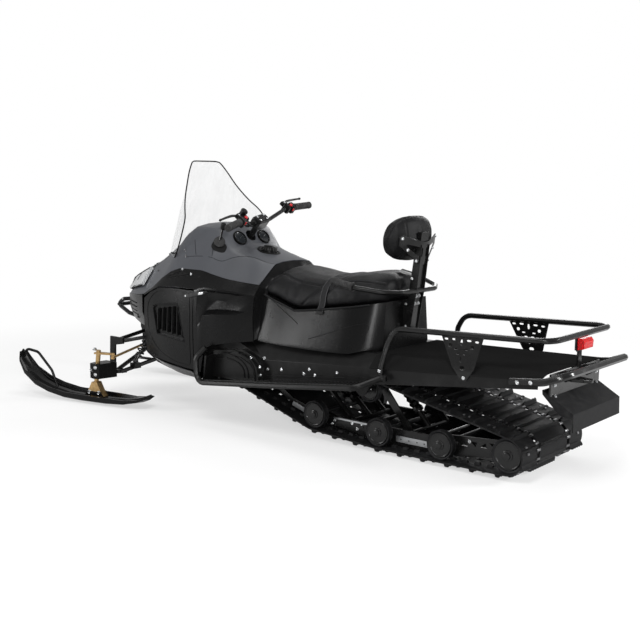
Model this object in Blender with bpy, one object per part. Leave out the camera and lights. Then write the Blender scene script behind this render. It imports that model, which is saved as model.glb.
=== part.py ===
"""Utility snowmobile: long wide track, cargo deck with a tubular rack, two steered skis.

Metres, +X forward, +Y to the rider's left, +Z up, the floor at z = 0.
Stations are distances forward of the front bend of the cargo rack. STATION_ZERO puts them in the frame.
"""

import math

import bmesh
import bpy
from mathutils import Matrix, Vector

# Frame
STATION_ZERO = -0.854
GAP = 0.0003
RUNNING_GAP = 0.005

# Steering
STEER_AT_REST = math.radians(11.0)
SPINDLE_X = 1.977
SPINDLE_Y = 0.467
CASTER = math.radians(8.0)
SPINDLE_RADIUS = 0.013
STEERING_ARM = 0.092
STEERING_ARM_Z = 0.288
ARM_OUTER_Y = SPINDLE_Y - 0.092
BULKHEAD_HALF = 0.150
BULKHEAD_FOOT = 0.273
DAMPER_TOP = 0.4455
DAMPER_FOOT = 0.2228
COLUMN_X = 1.300
COLUMN_Z = 0.860
COLUMN_LEAN = math.radians(41.0)
COLUMN_RADIUS = 0.016
BAR_HALF = 0.389
BAR_RADIUS = 0.011
GRIP_RADIUS = 0.017
GRIP_LENGTH = 0.125
GRIP_PROFILE = ((0.0, 1.12), (0.05, 1.12), (0.12, 1.0), (0.94, 1.0), (1.0, 1.15))

# Skis
SKI_THICKNESS = 0.011
KEEL_DEPTH = 0.014
LOOP_RADIUS = 0.008
SADDLE_FOOT = 0.0376

# Track
TRACK_PITCH = 0.064
BELT = 0.007
LUG = 0.020
LOW_LUG = 0.008
WHEEL_GAP = 0.0010

# Tunnel and deck
TUNNEL_HALF_WIDTH = 0.310
TRACK_HALF_WIDTH = TUNNEL_HALF_WIDTH - 0.025
TUNNEL_TOP_HALF_WIDTH = 0.250
TUNNEL_SHEET = 0.003
TUNNEL_FRONT = 1.260
TUNNEL_REAR = -0.675
DECK_FRONT = 0.175
DECK_SHEET = 0.004
DECK_OUTER = TUNNEL_HALF_WIDTH + DECK_SHEET + GAP

# Running boards
BOARD_FRONT = 1.150
BOARD_REAR = 0.130
BOARD_EDGE_Y = 0.440
BOARD_TUBE_RADIUS = 0.015
BOARD_SHEET = 0.003
TOE_FLOOR = 0.245

# Rack, bumpers
RACK_TUBE = 0.0135
RACK_HALF_WIDTH = 0.297
RACK_Z = 0.600
RACK_RISE = 0.024
RACK_REAR = -0.720
BUMPER_TUBE = 0.0165
BUMPER_REAR = -0.795
END_PLATE = -0.6873
TOW_EYE_X = -0.742
TOW_EYE_RADIUS = 0.014
LAMP_X = -0.702
LAMP_Y = -0.030
FLAP_HALF_WIDTH = 0.230
FLAP_SHEET = 0.006

# Body
PANEL = 0.0035
DOOR_FRONT = 1.687
DOOR_REAR = 1.268
KNEE_REAR = 0.905
DOOR_AXIS_X = 1.684
DOOR_AXIS_Y = 0.338
BARREL_RADIUS = 0.006
BARREL_LOW = 0.430
BARREL_HIGH = 0.540
LOUVRE_RECESS = ((1.593, 0.578), (1.556, 0.429), (1.336, 0.410), (1.386, 0.607))
LOUVRE_DEPTH = 0.022
LOUVRE_COUNT = 5
LOUVRE_FIRST = 1.538
LOUVRE_PITCH = 0.038
LOUVRE_HALF = 0.008
DOOR_STATIONS = (DOOR_FRONT, 1.62, 1.54, 1.48, 1.42, 1.345, DOOR_REAR)
KNEE_POCKET = 0.045

# Seat: station; base half-width at foot, at rim; rim z; cushion top z; its half-width on top
SEAT = (
    (0.900, 0.292, 0.250, 0.690, 0.800, 0.085),
    (0.820, 0.298, 0.250, 0.662, 0.812, 0.120),
    (0.685, 0.302, 0.250, 0.622, 0.785, 0.165),
    (0.560, 0.302, 0.252, 0.637, 0.778, 0.175),
    (0.440, 0.300, 0.252, 0.654, 0.800, 0.175),
    (0.320, 0.292, 0.246, 0.672, 0.818, 0.165),
    (0.250, 0.262, 0.222, 0.684, 0.818, 0.150),
    (0.190, 0.190, 0.165, 0.695, 0.806, 0.110),
)

# Stations where the seat's sections are taken
SEAT_STATIONS = (0.900, 0.86, 0.820, 0.75, 0.685, 0.56, 0.44, 0.38, 0.320, 0.250, 0.215, 0.190)
SEAT_REAR = 0.190
BACKREST_HALF_WIDTH = 0.180
BACKREST_HALF_HEIGHT = 0.113
BACKREST_DEPTH = 0.064
BACKREST_WRAP = 0.030

# Engine
ENGINE_FOOT = 0.330
POST_FOOT_Z = 0.460

# Wheels inside the track: station, height, radius
SPROCKET = (1.100, 0.305, 0.072)
IDLER = (-0.522, 0.109, 0.076)
CARRIER = (0.215, 0.288, 0.056)
ROAD_WHEELS = (
    ("bogie_wheels_front", 0.546, 0.119, 0.066),
    ("bogie_wheels_middle", 0.162, 0.094, 0.066),
    ("bogie_wheels_rear", -0.181, 0.094, 0.066),
)
WHEEL_OUTER_Y = TRACK_HALF_WIDTH - 0.022
WHEEL_WIDTH = 0.034
AXLE_RADIUS = 0.011
RAIL_Y = 0.190
RAIL_THICKNESS = 0.014
RAIL_TOP = 0.110
REAR_PLATE = (
    (-0.110, 0.055),
    (-0.110, 0.128),
    (-0.435, 0.150),
    (-0.525, 0.142),
    (-0.552, 0.109),
    (-0.525, 0.080),
    (-0.418, 0.066),
    (-0.226, 0.040),
)
CROSS_TUBES = ((0.300, 0.085), (-0.080, 0.085), (-0.400, 0.100))
FRONT_ARM = ((0.640, 0.302), (0.400, 0.088))
REAR_ARM_FOOT = (0.045, 0.088)

# Cargo rack
RACK_PLATE_SHEET = 0.003
RACK_PLATE_FOOT = DECK_OUTER + RACK_PLATE_SHEET / 2 + GAP

# Rack side plate, from the rail down: front station, rear station, height, distance out
RACK_PLATE = (
    (-0.198, -0.411, 0.606, RACK_HALF_WIDTH),
    (-0.268, -0.378, 0.470, RACK_PLATE_FOOT - 0.002),
    (-0.285, -0.366, 0.452, RACK_PLATE_FOOT),
    (-0.316, -0.340, 0.416, RACK_PLATE_FOOT),
)

# Holes in the side plate: station, height, half-length, half-height
RACK_HOLES = (
    (-0.228, 0.586, 0.010, 0.004),
    (-0.268, 0.588, 0.012, 0.004),
    (-0.341, 0.588, 0.012, 0.004),
    (-0.380, 0.586, 0.010, 0.004),
    (-0.305, 0.578, 0.006, 0.012),
    (-0.250, 0.562, 0.009, 0.007),
    (-0.360, 0.562, 0.009, 0.007),
    (-0.278, 0.548, 0.009, 0.003),
    (-0.332, 0.548, 0.009, 0.003),
    (-0.290, 0.528, 0.009, 0.003),
    (-0.324, 0.528, 0.009, 0.003),
    (-0.307, 0.506, 0.004, 0.012),
    (-0.318, 0.470, 0.013, 0.008),
)

# Windshield: height, half-width, station of its middle
SCREEN = (
    (1.356, 0.088, 1.589),
    (1.340, 0.112, 1.594),
    (1.290, 0.148, 1.606),
    (1.220, 0.190, 1.624),
    (1.140, 0.245, 1.655),
    (1.085, 0.288, 1.680),
    (1.040, 0.305, 1.695),
    (0.950, 0.305, 1.727),
    (0.880, 0.300, 1.752),
)
SCREEN_FOOT = (0.290, 1.768)
LENS = 0.006
SCREEN_CURVE = 3.1
SCREEN_SHEET = 0.003

# Ski half sections: distance ahead of the spindle, floor z, half-width, edge height
SKI = (
    (0.547, 0.235, 0.030, 0.012),
    (0.535, 0.190, 0.048, 0.018),
    (0.490, 0.125, 0.060, 0.024),
    (0.400, 0.070, 0.070, 0.028),
    (0.300, 0.038, 0.072, 0.032),
    (0.180, 0.018, 0.072, 0.034),
    (0.050, 0.0140, 0.072, 0.036),
    (-0.120, 0.0140, 0.070, 0.034),
    (-0.240, 0.020, 0.064, 0.026),
    (-0.330, 0.040, 0.056, 0.016),
    (-0.377, 0.058, 0.040, 0.010),
)

# Front body, half sections from the nose back. Each column is one line along the body:
# station; keel z; belly edge y, z; door foot y, z; door top y, z; hood seam y, z;
# hood shoulder y, z; crown z
BODY = (
    (2.120, 0.545, 0.020, 0.545, 0.030, 0.560, 0.035, 0.585, 0.035, 0.590, 0.025, 0.600, 0.602),
    (2.040, 0.490, 0.100, 0.495, 0.140, 0.520, 0.155, 0.585, 0.155, 0.590, 0.100, 0.650, 0.662),
    (1.900, 0.380, 0.180, 0.380, 0.235, 0.410, 0.258, 0.600, 0.258, 0.606, 0.180, 0.705, 0.742),
    (1.700, 0.255, 0.265, 0.262, 0.335, 0.318, 0.348, 0.620, 0.346, 0.628, 0.225, 0.785, 0.828),
    (1.540, 0.215, 0.300, 0.230, 0.368, 0.280, 0.374, 0.684, 0.352, 0.728, 0.235, 0.880, 0.930),
    (1.420, 0.200, 0.310, 0.212, 0.378, 0.268, 0.382, 0.690, 0.335, 0.786, 0.225, 0.985, 1.022),
    (1.270, 0.200, 0.312, 0.208, 0.380, 0.256, 0.382, 0.690, 0.330, 0.786, 0.205, 0.985, 1.020),
    (1.222, 0.200, 0.312, 0.208, 0.380, 0.256, 0.381, 0.698, 0.326, 0.778, 0.202, 0.930, 0.965),
    (1.195, 0.200, 0.312, 0.208, 0.380, 0.386, 0.380, 0.704, 0.320, 0.770, 0.200, 0.885, 0.920),
    (1.080, 0.200, 0.312, 0.208, 0.370, 0.420, 0.366, 0.700, 0.305, 0.748, 0.180, 0.850, 0.876),
    (0.905, 0.200, 0.312, 0.208, 0.305, 0.446, 0.300, 0.680, 0.258, 0.728, 0.150, 0.815, 0.838),
)

SIGN = {"left": 1.0, "right": -1.0}

COLOURS = {
    "hood grey": ((0.070, 0.074, 0.082), 0.32, 0.3),
    "moulded black": ((0.018, 0.018, 0.019), 0.55, 0.0),
    "satin black": ((0.022, 0.022, 0.023), 0.38, 0.6),
    "vinyl": ((0.014, 0.014, 0.015), 0.48, 0.0),
    "rubber": ((0.016, 0.016, 0.016), 0.75, 0.0),
    "gold": ((0.33, 0.22, 0.10), 0.32, 0.9),
    "clear": ((0.85, 0.87, 0.88), 0.08, 0.0),
    "lamp white": ((0.75, 0.77, 0.78), 0.15, 0.0),
    "lamp red": ((0.45, 0.01, 0.01), 0.15, 0.0),
    "cast": ((0.09, 0.09, 0.095), 0.60, 0.8),
}


def clear_scene():
    for item in list(bpy.data.objects):
        bpy.data.objects.remove(item, do_unlink=True)


def finish_of(name):
    colour, roughness, metallic = COLOURS[name]
    found = bpy.data.materials.get(name)
    if found:
        return found
    made = bpy.data.materials.new(name)
    made.use_nodes = True
    shader = made.node_tree.nodes["Principled BSDF"]
    shader.inputs["Base Color"].default_value = (*colour, 1.0)
    shader.inputs["Roughness"].default_value = roughness
    shader.inputs["Metallic"].default_value = metallic
    if name == "clear":
        shader.inputs["Alpha"].default_value = 0.25
    return made


def at_station(point):
    return Vector((point[0] + STATION_ZERO, point[1], point[2]))


def object_from(name, shape, finish, pivot=(0.0, 0.0, 0.0), parent=None, smooth=40.0):
    """One node from a bmesh in stations. Its origin goes to the pivot, also a station."""
    bmesh.ops.recalc_face_normals(shape, faces=shape.faces)
    bmesh.ops.translate(shape, verts=shape.verts, vec=-Vector(pivot))
    mesh = bpy.data.meshes.new(name)
    shape.to_mesh(mesh)
    shape.free()
    mesh.shade_smooth()
    mesh.set_sharp_from_angle(angle=math.radians(smooth))
    mesh.materials.append(finish_of(finish))
    made = bpy.data.objects.new(name, mesh)
    bpy.context.scene.collection.objects.link(made)
    if parent is None:
        made.location = at_station(pivot)
    else:
        made.parent = parent
    return made


def pivot_empty(name, point, axis_lean=0.0, turn=0.0):
    """An empty on a joint's axis: leant back about Y, then turned about its own axis."""
    made = bpy.data.objects.new(name, None)
    made.empty_display_size = 0.05
    bpy.context.scene.collection.objects.link(made)
    lean = Matrix.Rotation(-axis_lean, 4, "Y")
    made.matrix_world = (
        Matrix.Translation(at_station(point)) @ lean @ Matrix.Rotation(turn, 4, "Z") @ lean.inverted()
    )
    return made


def merged(*shapes):
    """Several separate closed shapes fused into one by exact Booleans."""
    made = []
    for number, shape in enumerate(shapes):
        bmesh.ops.recalc_face_normals(shape, faces=shape.faces)
        mesh = bpy.data.meshes.new("fusing")
        shape.to_mesh(mesh)
        shape.free()
        item = bpy.data.objects.new("fusing_%d" % number, mesh)
        bpy.context.scene.collection.objects.link(item)
        made.append(item)
    for item in made[1:]:
        step = made[0].modifiers.new("join", "BOOLEAN")
        step.operation = "UNION"
        step.object = item
    return evaluated(made)


def carved(shape, *cutters):
    """A closed shape with closed cutters taken out of it."""
    made = []
    for number, part in enumerate((shape, *cutters)):
        bmesh.ops.recalc_face_normals(part, faces=part.faces)
        mesh = bpy.data.meshes.new("carving")
        part.to_mesh(mesh)
        part.free()
        item = bpy.data.objects.new("carving_%d" % number, mesh)
        bpy.context.scene.collection.objects.link(item)
        made.append(item)
    for item in made[1:]:
        step = made[0].modifiers.new("cut", "BOOLEAN")
        step.operation = "DIFFERENCE"
        step.object = item
    return evaluated(made)


def evaluated(items):
    graph = bpy.context.evaluated_depsgraph_get()
    graph.update()
    mesh = bpy.data.meshes.new_from_object(items[0].evaluated_get(graph))
    shape = bmesh.new()
    shape.from_mesh(mesh)
    bpy.data.meshes.remove(mesh)
    for item in items:
        old = item.data
        bpy.data.objects.remove(item, do_unlink=True)
        bpy.data.meshes.remove(old)
    return shape


def box(low, high):
    shape = bmesh.new()
    bmesh.ops.create_cube(shape, size=1.0)
    size = Vector(high) - Vector(low)
    bmesh.ops.scale(shape, verts=shape.verts, vec=size)
    bmesh.ops.translate(shape, verts=shape.verts, vec=(Vector(high) + Vector(low)) / 2)
    return shape


def prism(outline, y_low, y_high):
    """An outline of (station, height) points, extruded across the machine."""
    shape = bmesh.new()
    near = [shape.verts.new((x, y_low, z)) for x, z in outline]
    far = [shape.verts.new((x, y_high, z)) for x, z in outline]
    shape.faces.new(near)
    shape.faces.new(list(reversed(far)))
    count = len(outline)
    for i in range(count):
        j = (i + 1) % count
        shape.faces.new((near[j], near[i], far[i], far[j]))
    return shape


def slab(outline, z_low, z_high):
    """An outline of (station, y) points, extruded upwards."""
    shape = bmesh.new()
    low = [shape.verts.new((x, y, z_low)) for x, y in outline]
    high = [shape.verts.new((x, y, z_high)) for x, y in outline]
    shape.faces.new(low)
    shape.faces.new(list(reversed(high)))
    count = len(outline)
    for i in range(count):
        j = (i + 1) % count
        shape.faces.new((low[j], low[i], high[i], high[j]))
    return shape


def loft(sections, folded_sheet=False):
    """Closed rings with equal point counts, joined in order, with flat caps. A folded sheet's
    rings run out and back, and both skins are split along the same diagonals."""
    shape = bmesh.new()
    rings = [[shape.verts.new(point) for point in section] for section in sections]
    count = len(rings[0])
    for one, other in zip(rings, rings[1:]):
        for i in range(count):
            j = (i + 1) % count
            if not folded_sheet:
                shape.faces.new((one[i], one[j], other[j], other[i]))
            elif i < count // 2:
                shape.faces.new((one[i], one[j], other[j]))
                shape.faces.new((one[i], other[j], other[i]))
            else:
                shape.faces.new((one[i], one[j], other[i]))
                shape.faces.new((one[j], other[j], other[i]))
    shape.faces.new(list(reversed(rings[0])))
    shape.faces.new(rings[-1])
    return shape


def rounded_path(points, bend, steps=4):
    """The points with each inner corner replaced by an arc of the bend radius."""
    path = [Vector(points[0])]
    for before, corner, after in zip(points, points[1:], points[2:]):
        corner = Vector(corner)
        back = (Vector(before) - corner).normalized()
        ahead = (Vector(after) - corner).normalized()
        turn = math.pi - back.angle(ahead)
        if turn < math.radians(3):
            path.append(corner)
            continue
        reach = min(
            bend * math.tan(turn / 2),
            0.48 * (Vector(before) - corner).length,
            0.48 * (Vector(after) - corner).length,
        )
        radius = reach / math.tan(turn / 2)
        centre = corner + (back + ahead).normalized() * (radius / math.cos(turn / 2))
        start = corner + back * reach - centre
        axis = start.cross(corner + ahead * reach - centre).normalized()
        for i in range(steps + 1):
            path.append(centre + Matrix.Rotation(turn * i / steps, 3, axis) @ start)
    path.append(Vector(points[-1]))
    return path


def tube(points, radius, bend=0.05, sides=8, steps=4):
    """A round bar along straight runs with rounded bends, its ends capped."""
    path = rounded_path(points, bend, steps)
    return swept(path, [radius] * len(path), sides)


def swept(path, radii, sides):
    sections = []
    heading = (path[1] - path[0]).normalized()
    across = heading.orthogonal().normalized()
    for i, point in enumerate(path):
        before = (point - path[i - 1]).normalized() if i else heading
        after = (path[i + 1] - point).normalized() if i + 1 < len(path) else before
        tangent = (before + after).normalized()
        across = (across - tangent * across.dot(tangent)).normalized()
        other = tangent.cross(across)
        stretch = 1.0 / max(0.5, tangent.dot(after))
        ring = []
        for k in range(sides):
            angle = 2 * math.pi * (k + 0.5) / sides
            offset = across * math.cos(angle) + other * math.sin(angle)
            ring.append(point + offset * radii[i] * (1 + (stretch - 1) * 0.5))
        sections.append(ring)
    return loft(sections)


def rod(start, end, radius, sides=12):
    return swept([Vector(start), Vector(end)], [radius, radius], sides)


def turned(profile, centre, sides=24):
    """A profile of (distance across the machine, radius) turned about a line along Y."""
    sections = []
    for y, radius in profile:
        ring = []
        for k in range(sides):
            angle = 2 * math.pi * k / sides
            ring.append((centre[0] + radius * math.cos(angle), y, centre[1] + radius * math.sin(angle)))
        sections.append(ring)
    return loft(sections)


def shell(grid, thickness, present=None, inwards=None):
    """A panel: a grid of surface points, given a thickness along its normals, or along the one
    direction given, with open cells left out."""
    rows, columns = len(grid), len(grid[0])
    shape = bmesh.new()
    skin, lining = [], []
    for i in range(rows):
        for j in range(columns):
            here = Vector(grid[i][j])
            along = Vector(grid[min(i + 1, rows - 1)][j]) - Vector(grid[max(i - 1, 0)][j])
            over = Vector(grid[i][min(j + 1, columns - 1)]) - Vector(grid[i][max(j - 1, 0)])
            normal = along.cross(over).normalized()
            skin.append(here)
            lining.append(here + (inwards or -normal) * thickness)
    cells = {
        (i, j)
        for i in range(rows - 1)
        for j in range(columns - 1)
        if present is None or present(i, j)
    }
    corners = {}

    def vertex(layer, i, j):
        key = (layer, i, j)
        if key not in corners:
            corners[key] = shape.verts.new((skin if layer == 0 else lining)[i * columns + j])
        return corners[key]

    for i, j in sorted(cells):
        around = [(i, j), (i + 1, j), (i + 1, j + 1), (i, j + 1)]
        for three in (around[:3], [around[0], around[2], around[3]]):
            shape.faces.new([vertex(0, *c) for c in three])
            shape.faces.new([vertex(1, *c) for c in reversed(three)])
        for (step_i, step_j), (a, b) in zip(
            ((0, -1), (1, 0), (0, 1), (-1, 0)), zip(around, around[1:] + around[:1])
        ):
            if (i + step_i, j + step_j) not in cells:
                shape.faces.new((vertex(0, *b), vertex(0, *a), vertex(1, *a), vertex(1, *b)))
    bmesh.ops.triangulate(shape, faces=shape.faces, quad_method="FIXED")
    return shape


def mirrored(shape):
    bmesh.ops.scale(shape, verts=shape.verts, vec=(1.0, -1.0, 1.0))
    bmesh.ops.reverse_faces(shape, faces=shape.faces)
    return shape


def eased(x, stations, values):
    """A smooth curve through the values, with no overshoot between them."""
    if stations[0] > stations[-1]:
        stations, values = stations[::-1], values[::-1]
    if x <= stations[0]:
        return values[0]
    if x >= stations[-1]:
        return values[-1]
    slopes = [
        (values[i + 1] - values[i]) / (stations[i + 1] - stations[i]) for i in range(len(values) - 1)
    ]
    tangents = [slopes[0]]
    for one, other in zip(slopes, slopes[1:]):
        tangents.append(0.0 if one * other <= 0 else 2 * one * other / (one + other))
    tangents.append(slopes[-1])
    for i in range(len(slopes)):
        if x <= stations[i + 1]:
            run = stations[i + 1] - stations[i]
            t = (x - stations[i]) / run
            return (
                values[i] * (1 + 2 * t) * (1 - t) ** 2
                + values[i + 1] * t * t * (3 - 2 * t)
                + tangents[i] * run * t * (1 - t) ** 2
                - tangents[i + 1] * run * t * t * (1 - t)
            )
    return values[-1]


def body_column(x, first):
    return eased(x, [row[0] for row in BODY], [row[first] for row in BODY])


def body_point(x, line):
    """A point of the left half at a station. Lines: 0 keel, 1 belly edge, 2 door foot,
    3 door top, 4 hood seam, 5 hood shoulder, 6 crown, with fractions in between."""
    marks = [(0.0, body_column(x, 1))]
    for first in (2, 4, 6, 8, 10):
        marks.append((body_column(x, first), body_column(x, first + 1)))
    marks.append((0.0, body_column(x, 12)))
    i = min(int(line), 5)
    t = line - i
    (y0, z0), (y1, z1) = marks[i], marks[i + 1]
    if i == 5:
        return (x, y0 * math.cos(t * math.pi / 2), z0 + (z1 - z0) * math.sin(t * math.pi / 2))
    y, z = y0 + (y1 - y0) * t, z0 + (z1 - z0) * t
    if i == 2:
        y += 0.010 * math.sin(t * math.pi)
    return (x, y, z)


def panel_grid(stations, lines):
    return [[body_point(x, line) for line in lines] for x in stations]


def full_width(half):
    """A half grid, from its outer line in to the centre, carried over to the right side."""
    return [row + [(x, -y, z) for x, y, z in reversed(row[:-1])] for row in half]


def hood_grid(rise=0.0):
    stations = [2.115, 2.08, 2.04, 1.98, 1.90, 1.80, 1.70, 1.62, 1.54, 1.48, 1.42, 1.345]
    stations += [1.27, 1.23, 1.19, 1.135, 1.08, 1.0, 0.915]
    grid = full_width(panel_grid(stations, [4.004, 4.35, 4.7, 5.0, 5.3, 5.65, 6.0]))
    return [[(x, y, z + rise) for x, y, z in row] for row in grid]


def standing_on_hood(shape):
    """The shape, trimmed to stand a gap above the hood's panel."""
    return carved(shape, shell(hood_grid(2 * GAP), 0.040, inwards=Vector((0, 0, -1))))


def make_hood():
    hood = shell(hood_grid(), PANEL)
    well = rod(
        (COLUMN_X + 0.1 * math.sin(COLUMN_LEAN), 0, COLUMN_Z - 0.1 * math.cos(COLUMN_LEAN)),
        (COLUMN_X - 0.4 * math.sin(COLUMN_LEAN), 0, COLUMN_Z + 0.4 * math.cos(COLUMN_LEAN)),
        COLUMN_RADIUS + RUNNING_GAP + 0.012,
        16,
    )
    object_from("hood", carved(hood, well), "hood grey")


def cowl_foot(x):
    return eased(x, [1.705, 1.90, 2.04, 2.12], [0.440, 0.462, 0.505, 0.550])


def make_nose_cowl():
    """The black lower nose: a band under the hood's edge, from one side round to the other."""
    left = []
    for x in (1.707, 1.80, 1.90, 1.98, 2.04, 2.08, 2.115):
        top, shoulder = body_point(x, 3.996), body_point(x, 3.0)
        foot = (x, shoulder[1] * 0.90, cowl_foot(x))
        middle = (x, shoulder[1], shoulder[2] + (foot[2] - shoulder[2]) * 0.5)
        left.append([foot, middle, shoulder, top])
    right = [[(x, -y, z) for x, y, z in row] for row in reversed(left)]
    cowl = shell(left + right, PANEL)
    bars = (bumper_loop(2 * GAP), mirrored(bumper_loop(2 * GAP)))
    object_from("nose_cowl", carved(cowl, *bars), "moulded black")


def make_belly_pan():
    """The black pan under the engine bay, from door foot to door foot."""
    stations = [DOOR_FRONT, 1.62, 1.54, 1.48, 1.42, 1.345, 1.285]
    grid = full_width(panel_grid(stations, [1.985, 1.5, 1.0, 0.5, 0.0]))
    web = (
        (1.612, body_point(1.612, 0)[2] + 0.002),
        (1.650, body_point(1.650, 0)[2] + 0.002),
        (1.650, BULKHEAD_FOOT - GAP),
        (1.612, BULKHEAD_FOOT - GAP),
    )
    pan = merged(shell(grid, PANEL), prism(web, -0.040, 0.040))
    object_from("belly_pan", pan, "moulded black")


def door_grid(shift=0.0):
    """The door's surface. Its top edge drops at the front, to swing clear of the strip over it."""
    grid = []
    for x in DOOR_STATIONS:
        top = 2.982 - 0.45 * max(0.0, x - 1.62)
        row = [body_point(x, line) for line in (2.018, 2.2, 2.4, 2.6, 2.8, top)]
        grid.append([(px, y + shift, z) for px, y, z in row])
    return grid


def louvre_slots(y):
    """The upright slots through the recess's floor, as cutters."""
    slots = []
    for i in range(LOUVRE_COUNT):
        x = LOUVRE_FIRST - i * LOUVRE_PITCH
        low, high, lean = 0.450 - 0.004 * i, 0.566 + 0.006 * i, -0.010
        foot = ((x - LOUVRE_HALF, low), (x + LOUVRE_HALF, low))
        head = ((x + LOUVRE_HALF + lean, high), (x - LOUVRE_HALF + lean, high))
        slots.append(prism(foot + head, y - 0.050, y + 0.050))
    return slots


def make_door(side):
    """A side panel with a louvred recess. It swings out about a barrel inside its front edge."""
    sign = SIGN[side]
    pivot = (DOOR_AXIS_X, DOOR_AXIS_Y * sign, BARREL_LOW)
    parent = pivot_empty("door_axis_%s" % side, pivot)
    barrel = rod(
        (DOOR_AXIS_X, DOOR_AXIS_Y, BARREL_LOW), (DOOR_AXIS_X, DOOR_AXIS_Y, BARREL_HIGH), BARREL_RADIUS
    )
    skin_y = body_point(DOOR_AXIS_X - 0.01, 2.5)[1] - PANEL / 2
    arm = box(
        (DOOR_AXIS_X - 0.014, DOOR_AXIS_Y, BARREL_LOW + 0.010),
        (DOOR_AXIS_X - 0.002, skin_y, BARREL_HIGH - 0.010),
    )
    middle_y = body_point(1.47, 2.5)[1]
    deep = middle_y - LOUVRE_DEPTH
    recess_x = [x for x, _ in LOUVRE_RECESS]
    recess_z = [z for _, z in LOUVRE_RECESS]
    tray = box(
        (min(recess_x) - 0.004, deep - PANEL, min(recess_z) - 0.004),
        (max(recess_x) + 0.004, middle_y, max(recess_z) + 0.004),
    )
    outside = shell(door_grid(-0.001), 0.050, inwards=Vector((0, 1, 0)))
    hollow = prism(LOUVRE_RECESS, deep, deep + 0.080)
    skin = merged(shell(door_grid(), PANEL), carved(tray, outside))
    door = merged(carved(skin, hollow, *louvre_slots(deep)), barrel, arm)
    if side == "right":
        mirrored(door)
    object_from("side_panel_%s" % side, door, "moulded black", pivot, parent)


def make_knee_panel(side):
    """Behind the door: the black strip over it, and the panel with the pocket for the knee."""
    stations = [1.695, *DOOR_STATIONS[1:-1], 1.263, 1.240, 1.222, 1.195, 1.135, 1.08, 1.0]
    stations += [0.945, KNEE_REAR + 0.005]
    lines = [2.004, 2.3, 2.55, 2.63, 2.78, 2.92, 2.97, 3.008, 3.5, 3.996]
    grid = panel_grid(stations, lines)
    door_cells = stations.index(1.263)
    strip_cells = lines.index(3.008)
    for i, x in enumerate(stations):
        for j, line in enumerate(lines):
            over = eased(line, [2.55, 2.63, 2.78, 2.92, 2.97], [0.0, 0.85, 1.0, 0.5, 0.0])
            along = eased(x, [0.945, 1.0, 1.08, 1.195, 1.240], [0.0, 0.6, 1.0, 1.0, 0.0])
            px, y, z = grid[i][j]
            grid[i][j] = (px, y - KNEE_POCKET * over * along, z)

    def present(i, j):
        return j >= strip_cells or i >= door_cells

    shape = shell(grid, PANEL, present)
    if side == "right":
        mirrored(shape)
    object_from("knee_panel_%s" % side, shape, "moulded black")


def make_bulkhead():
    """The front frame: a core with an opening for the tie rods, hinge brackets, damper brackets
    and the floor that carries the engine."""
    outline = (
        (1.600, BULKHEAD_FOOT),
        (1.720, BULKHEAD_FOOT),
        (1.930, 0.262),
        (1.933, 0.2955),
        (1.840, 0.2955),
        (1.840, 0.350),
        (1.935, 0.350),
        (1.960, 0.400),
        (1.960, 0.455),
        (1.900, 0.470),
        (1.660, 0.500),
        (1.600, 0.420),
    )
    half = BULKHEAD_HALF
    shapes = [prism(outline, -half, half)]
    floor_half = TUNNEL_HALF_WIDTH - GAP
    floor_rear, floor_front = TUNNEL_FRONT + GAP, 1.610
    shapes.append(
        box((floor_rear, -floor_half, 0.305), (floor_front, floor_half, ENGINE_FOOT - GAP))
    )
    post_length = (COLUMN_Z - POST_FOOT_Z) / math.cos(COLUMN_LEAN)
    shapes.append(rod(column_frame(-GAP), column_frame(-post_length), COLUMN_RADIUS + 0.004, 12))
    inner, outer = half - 0.010, DOOR_AXIS_Y + 0.005
    for sign in (1.0, -1.0):
        for low, high in (
            (BARREL_HIGH + GAP, BARREL_HIGH + 0.008),
            (BARREL_LOW - 0.008, BARREL_LOW - GAP),
            (BARREL_LOW - 0.008, BARREL_HIGH + 0.008),
        ):
            reach = outer if high - low < 0.05 else half + 0.020
            corner = (DOOR_AXIS_X - 0.007, inner, low)
            far = (DOOR_AXIS_X + 0.006, reach, high)
            shapes.append(box(corner, far) if sign > 0 else mirrored(box(corner, far)))
        tower = box((1.765, inner, DAMPER_TOP), (1.805, half + 0.065, DAMPER_TOP + 0.015))
        shapes.append(tower if sign > 0 else mirrored(tower))
    object_from("bulkhead", merged(*shapes), "satin black")


def make_engine():
    """The engine with its drive as one plain block, its front corner cut clear of the post."""
    outline = (
        (1.300, ENGINE_FOOT),
        (1.585, ENGINE_FOOT),
        (1.585, 0.470),
        (1.450, 0.630),
        (1.300, 0.640),
    )
    object_from("engine_block", prism(outline, -0.200, 0.200), "cast")


def tunnel_low(x):
    return 0.341 - 0.113 * (x - 0.07)


def tunnel_fold(x):
    """The fold's height. It rises under the body, where the track turns round its sprocket."""
    return 0.414 - 0.068 * (x - 0.07) + 0.5 * min(max(0.0, x - 0.84), 0.16)


def tunnel_top(x):
    return 0.464 + (0.016 * (0.10 - x) / 0.775 if x < 0.10 else 0.0)


def folded(x, inset, low, rise=0.0):
    """The tunnel's folded section, left foot to right foot, moved in by the inset."""
    corner = inset * 0.45
    half = [
        (TUNNEL_HALF_WIDTH - inset, low),
        (TUNNEL_HALF_WIDTH - inset, tunnel_fold(x) - corner),
        (TUNNEL_TOP_HALF_WIDTH - corner, tunnel_top(x) - inset),
    ]
    half = [(y, z + rise) for y, z in half]
    return [(x, y, z) for y, z in half] + [(x, -y, z) for y, z in reversed(half)]


def make_tunnel():
    sections = []
    for x in (TUNNEL_REAR, -0.25, 0.10, DECK_FRONT, 0.60, 0.84, 1.00, TUNNEL_FRONT):
        outer = folded(x, 0.0, tunnel_low(x))
        inner = folded(x, TUNNEL_SHEET, tunnel_low(x))
        sections.append(outer + list(reversed(inner)))
    object_from("tunnel", loft(sections, folded_sheet=True), "satin black")


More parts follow.
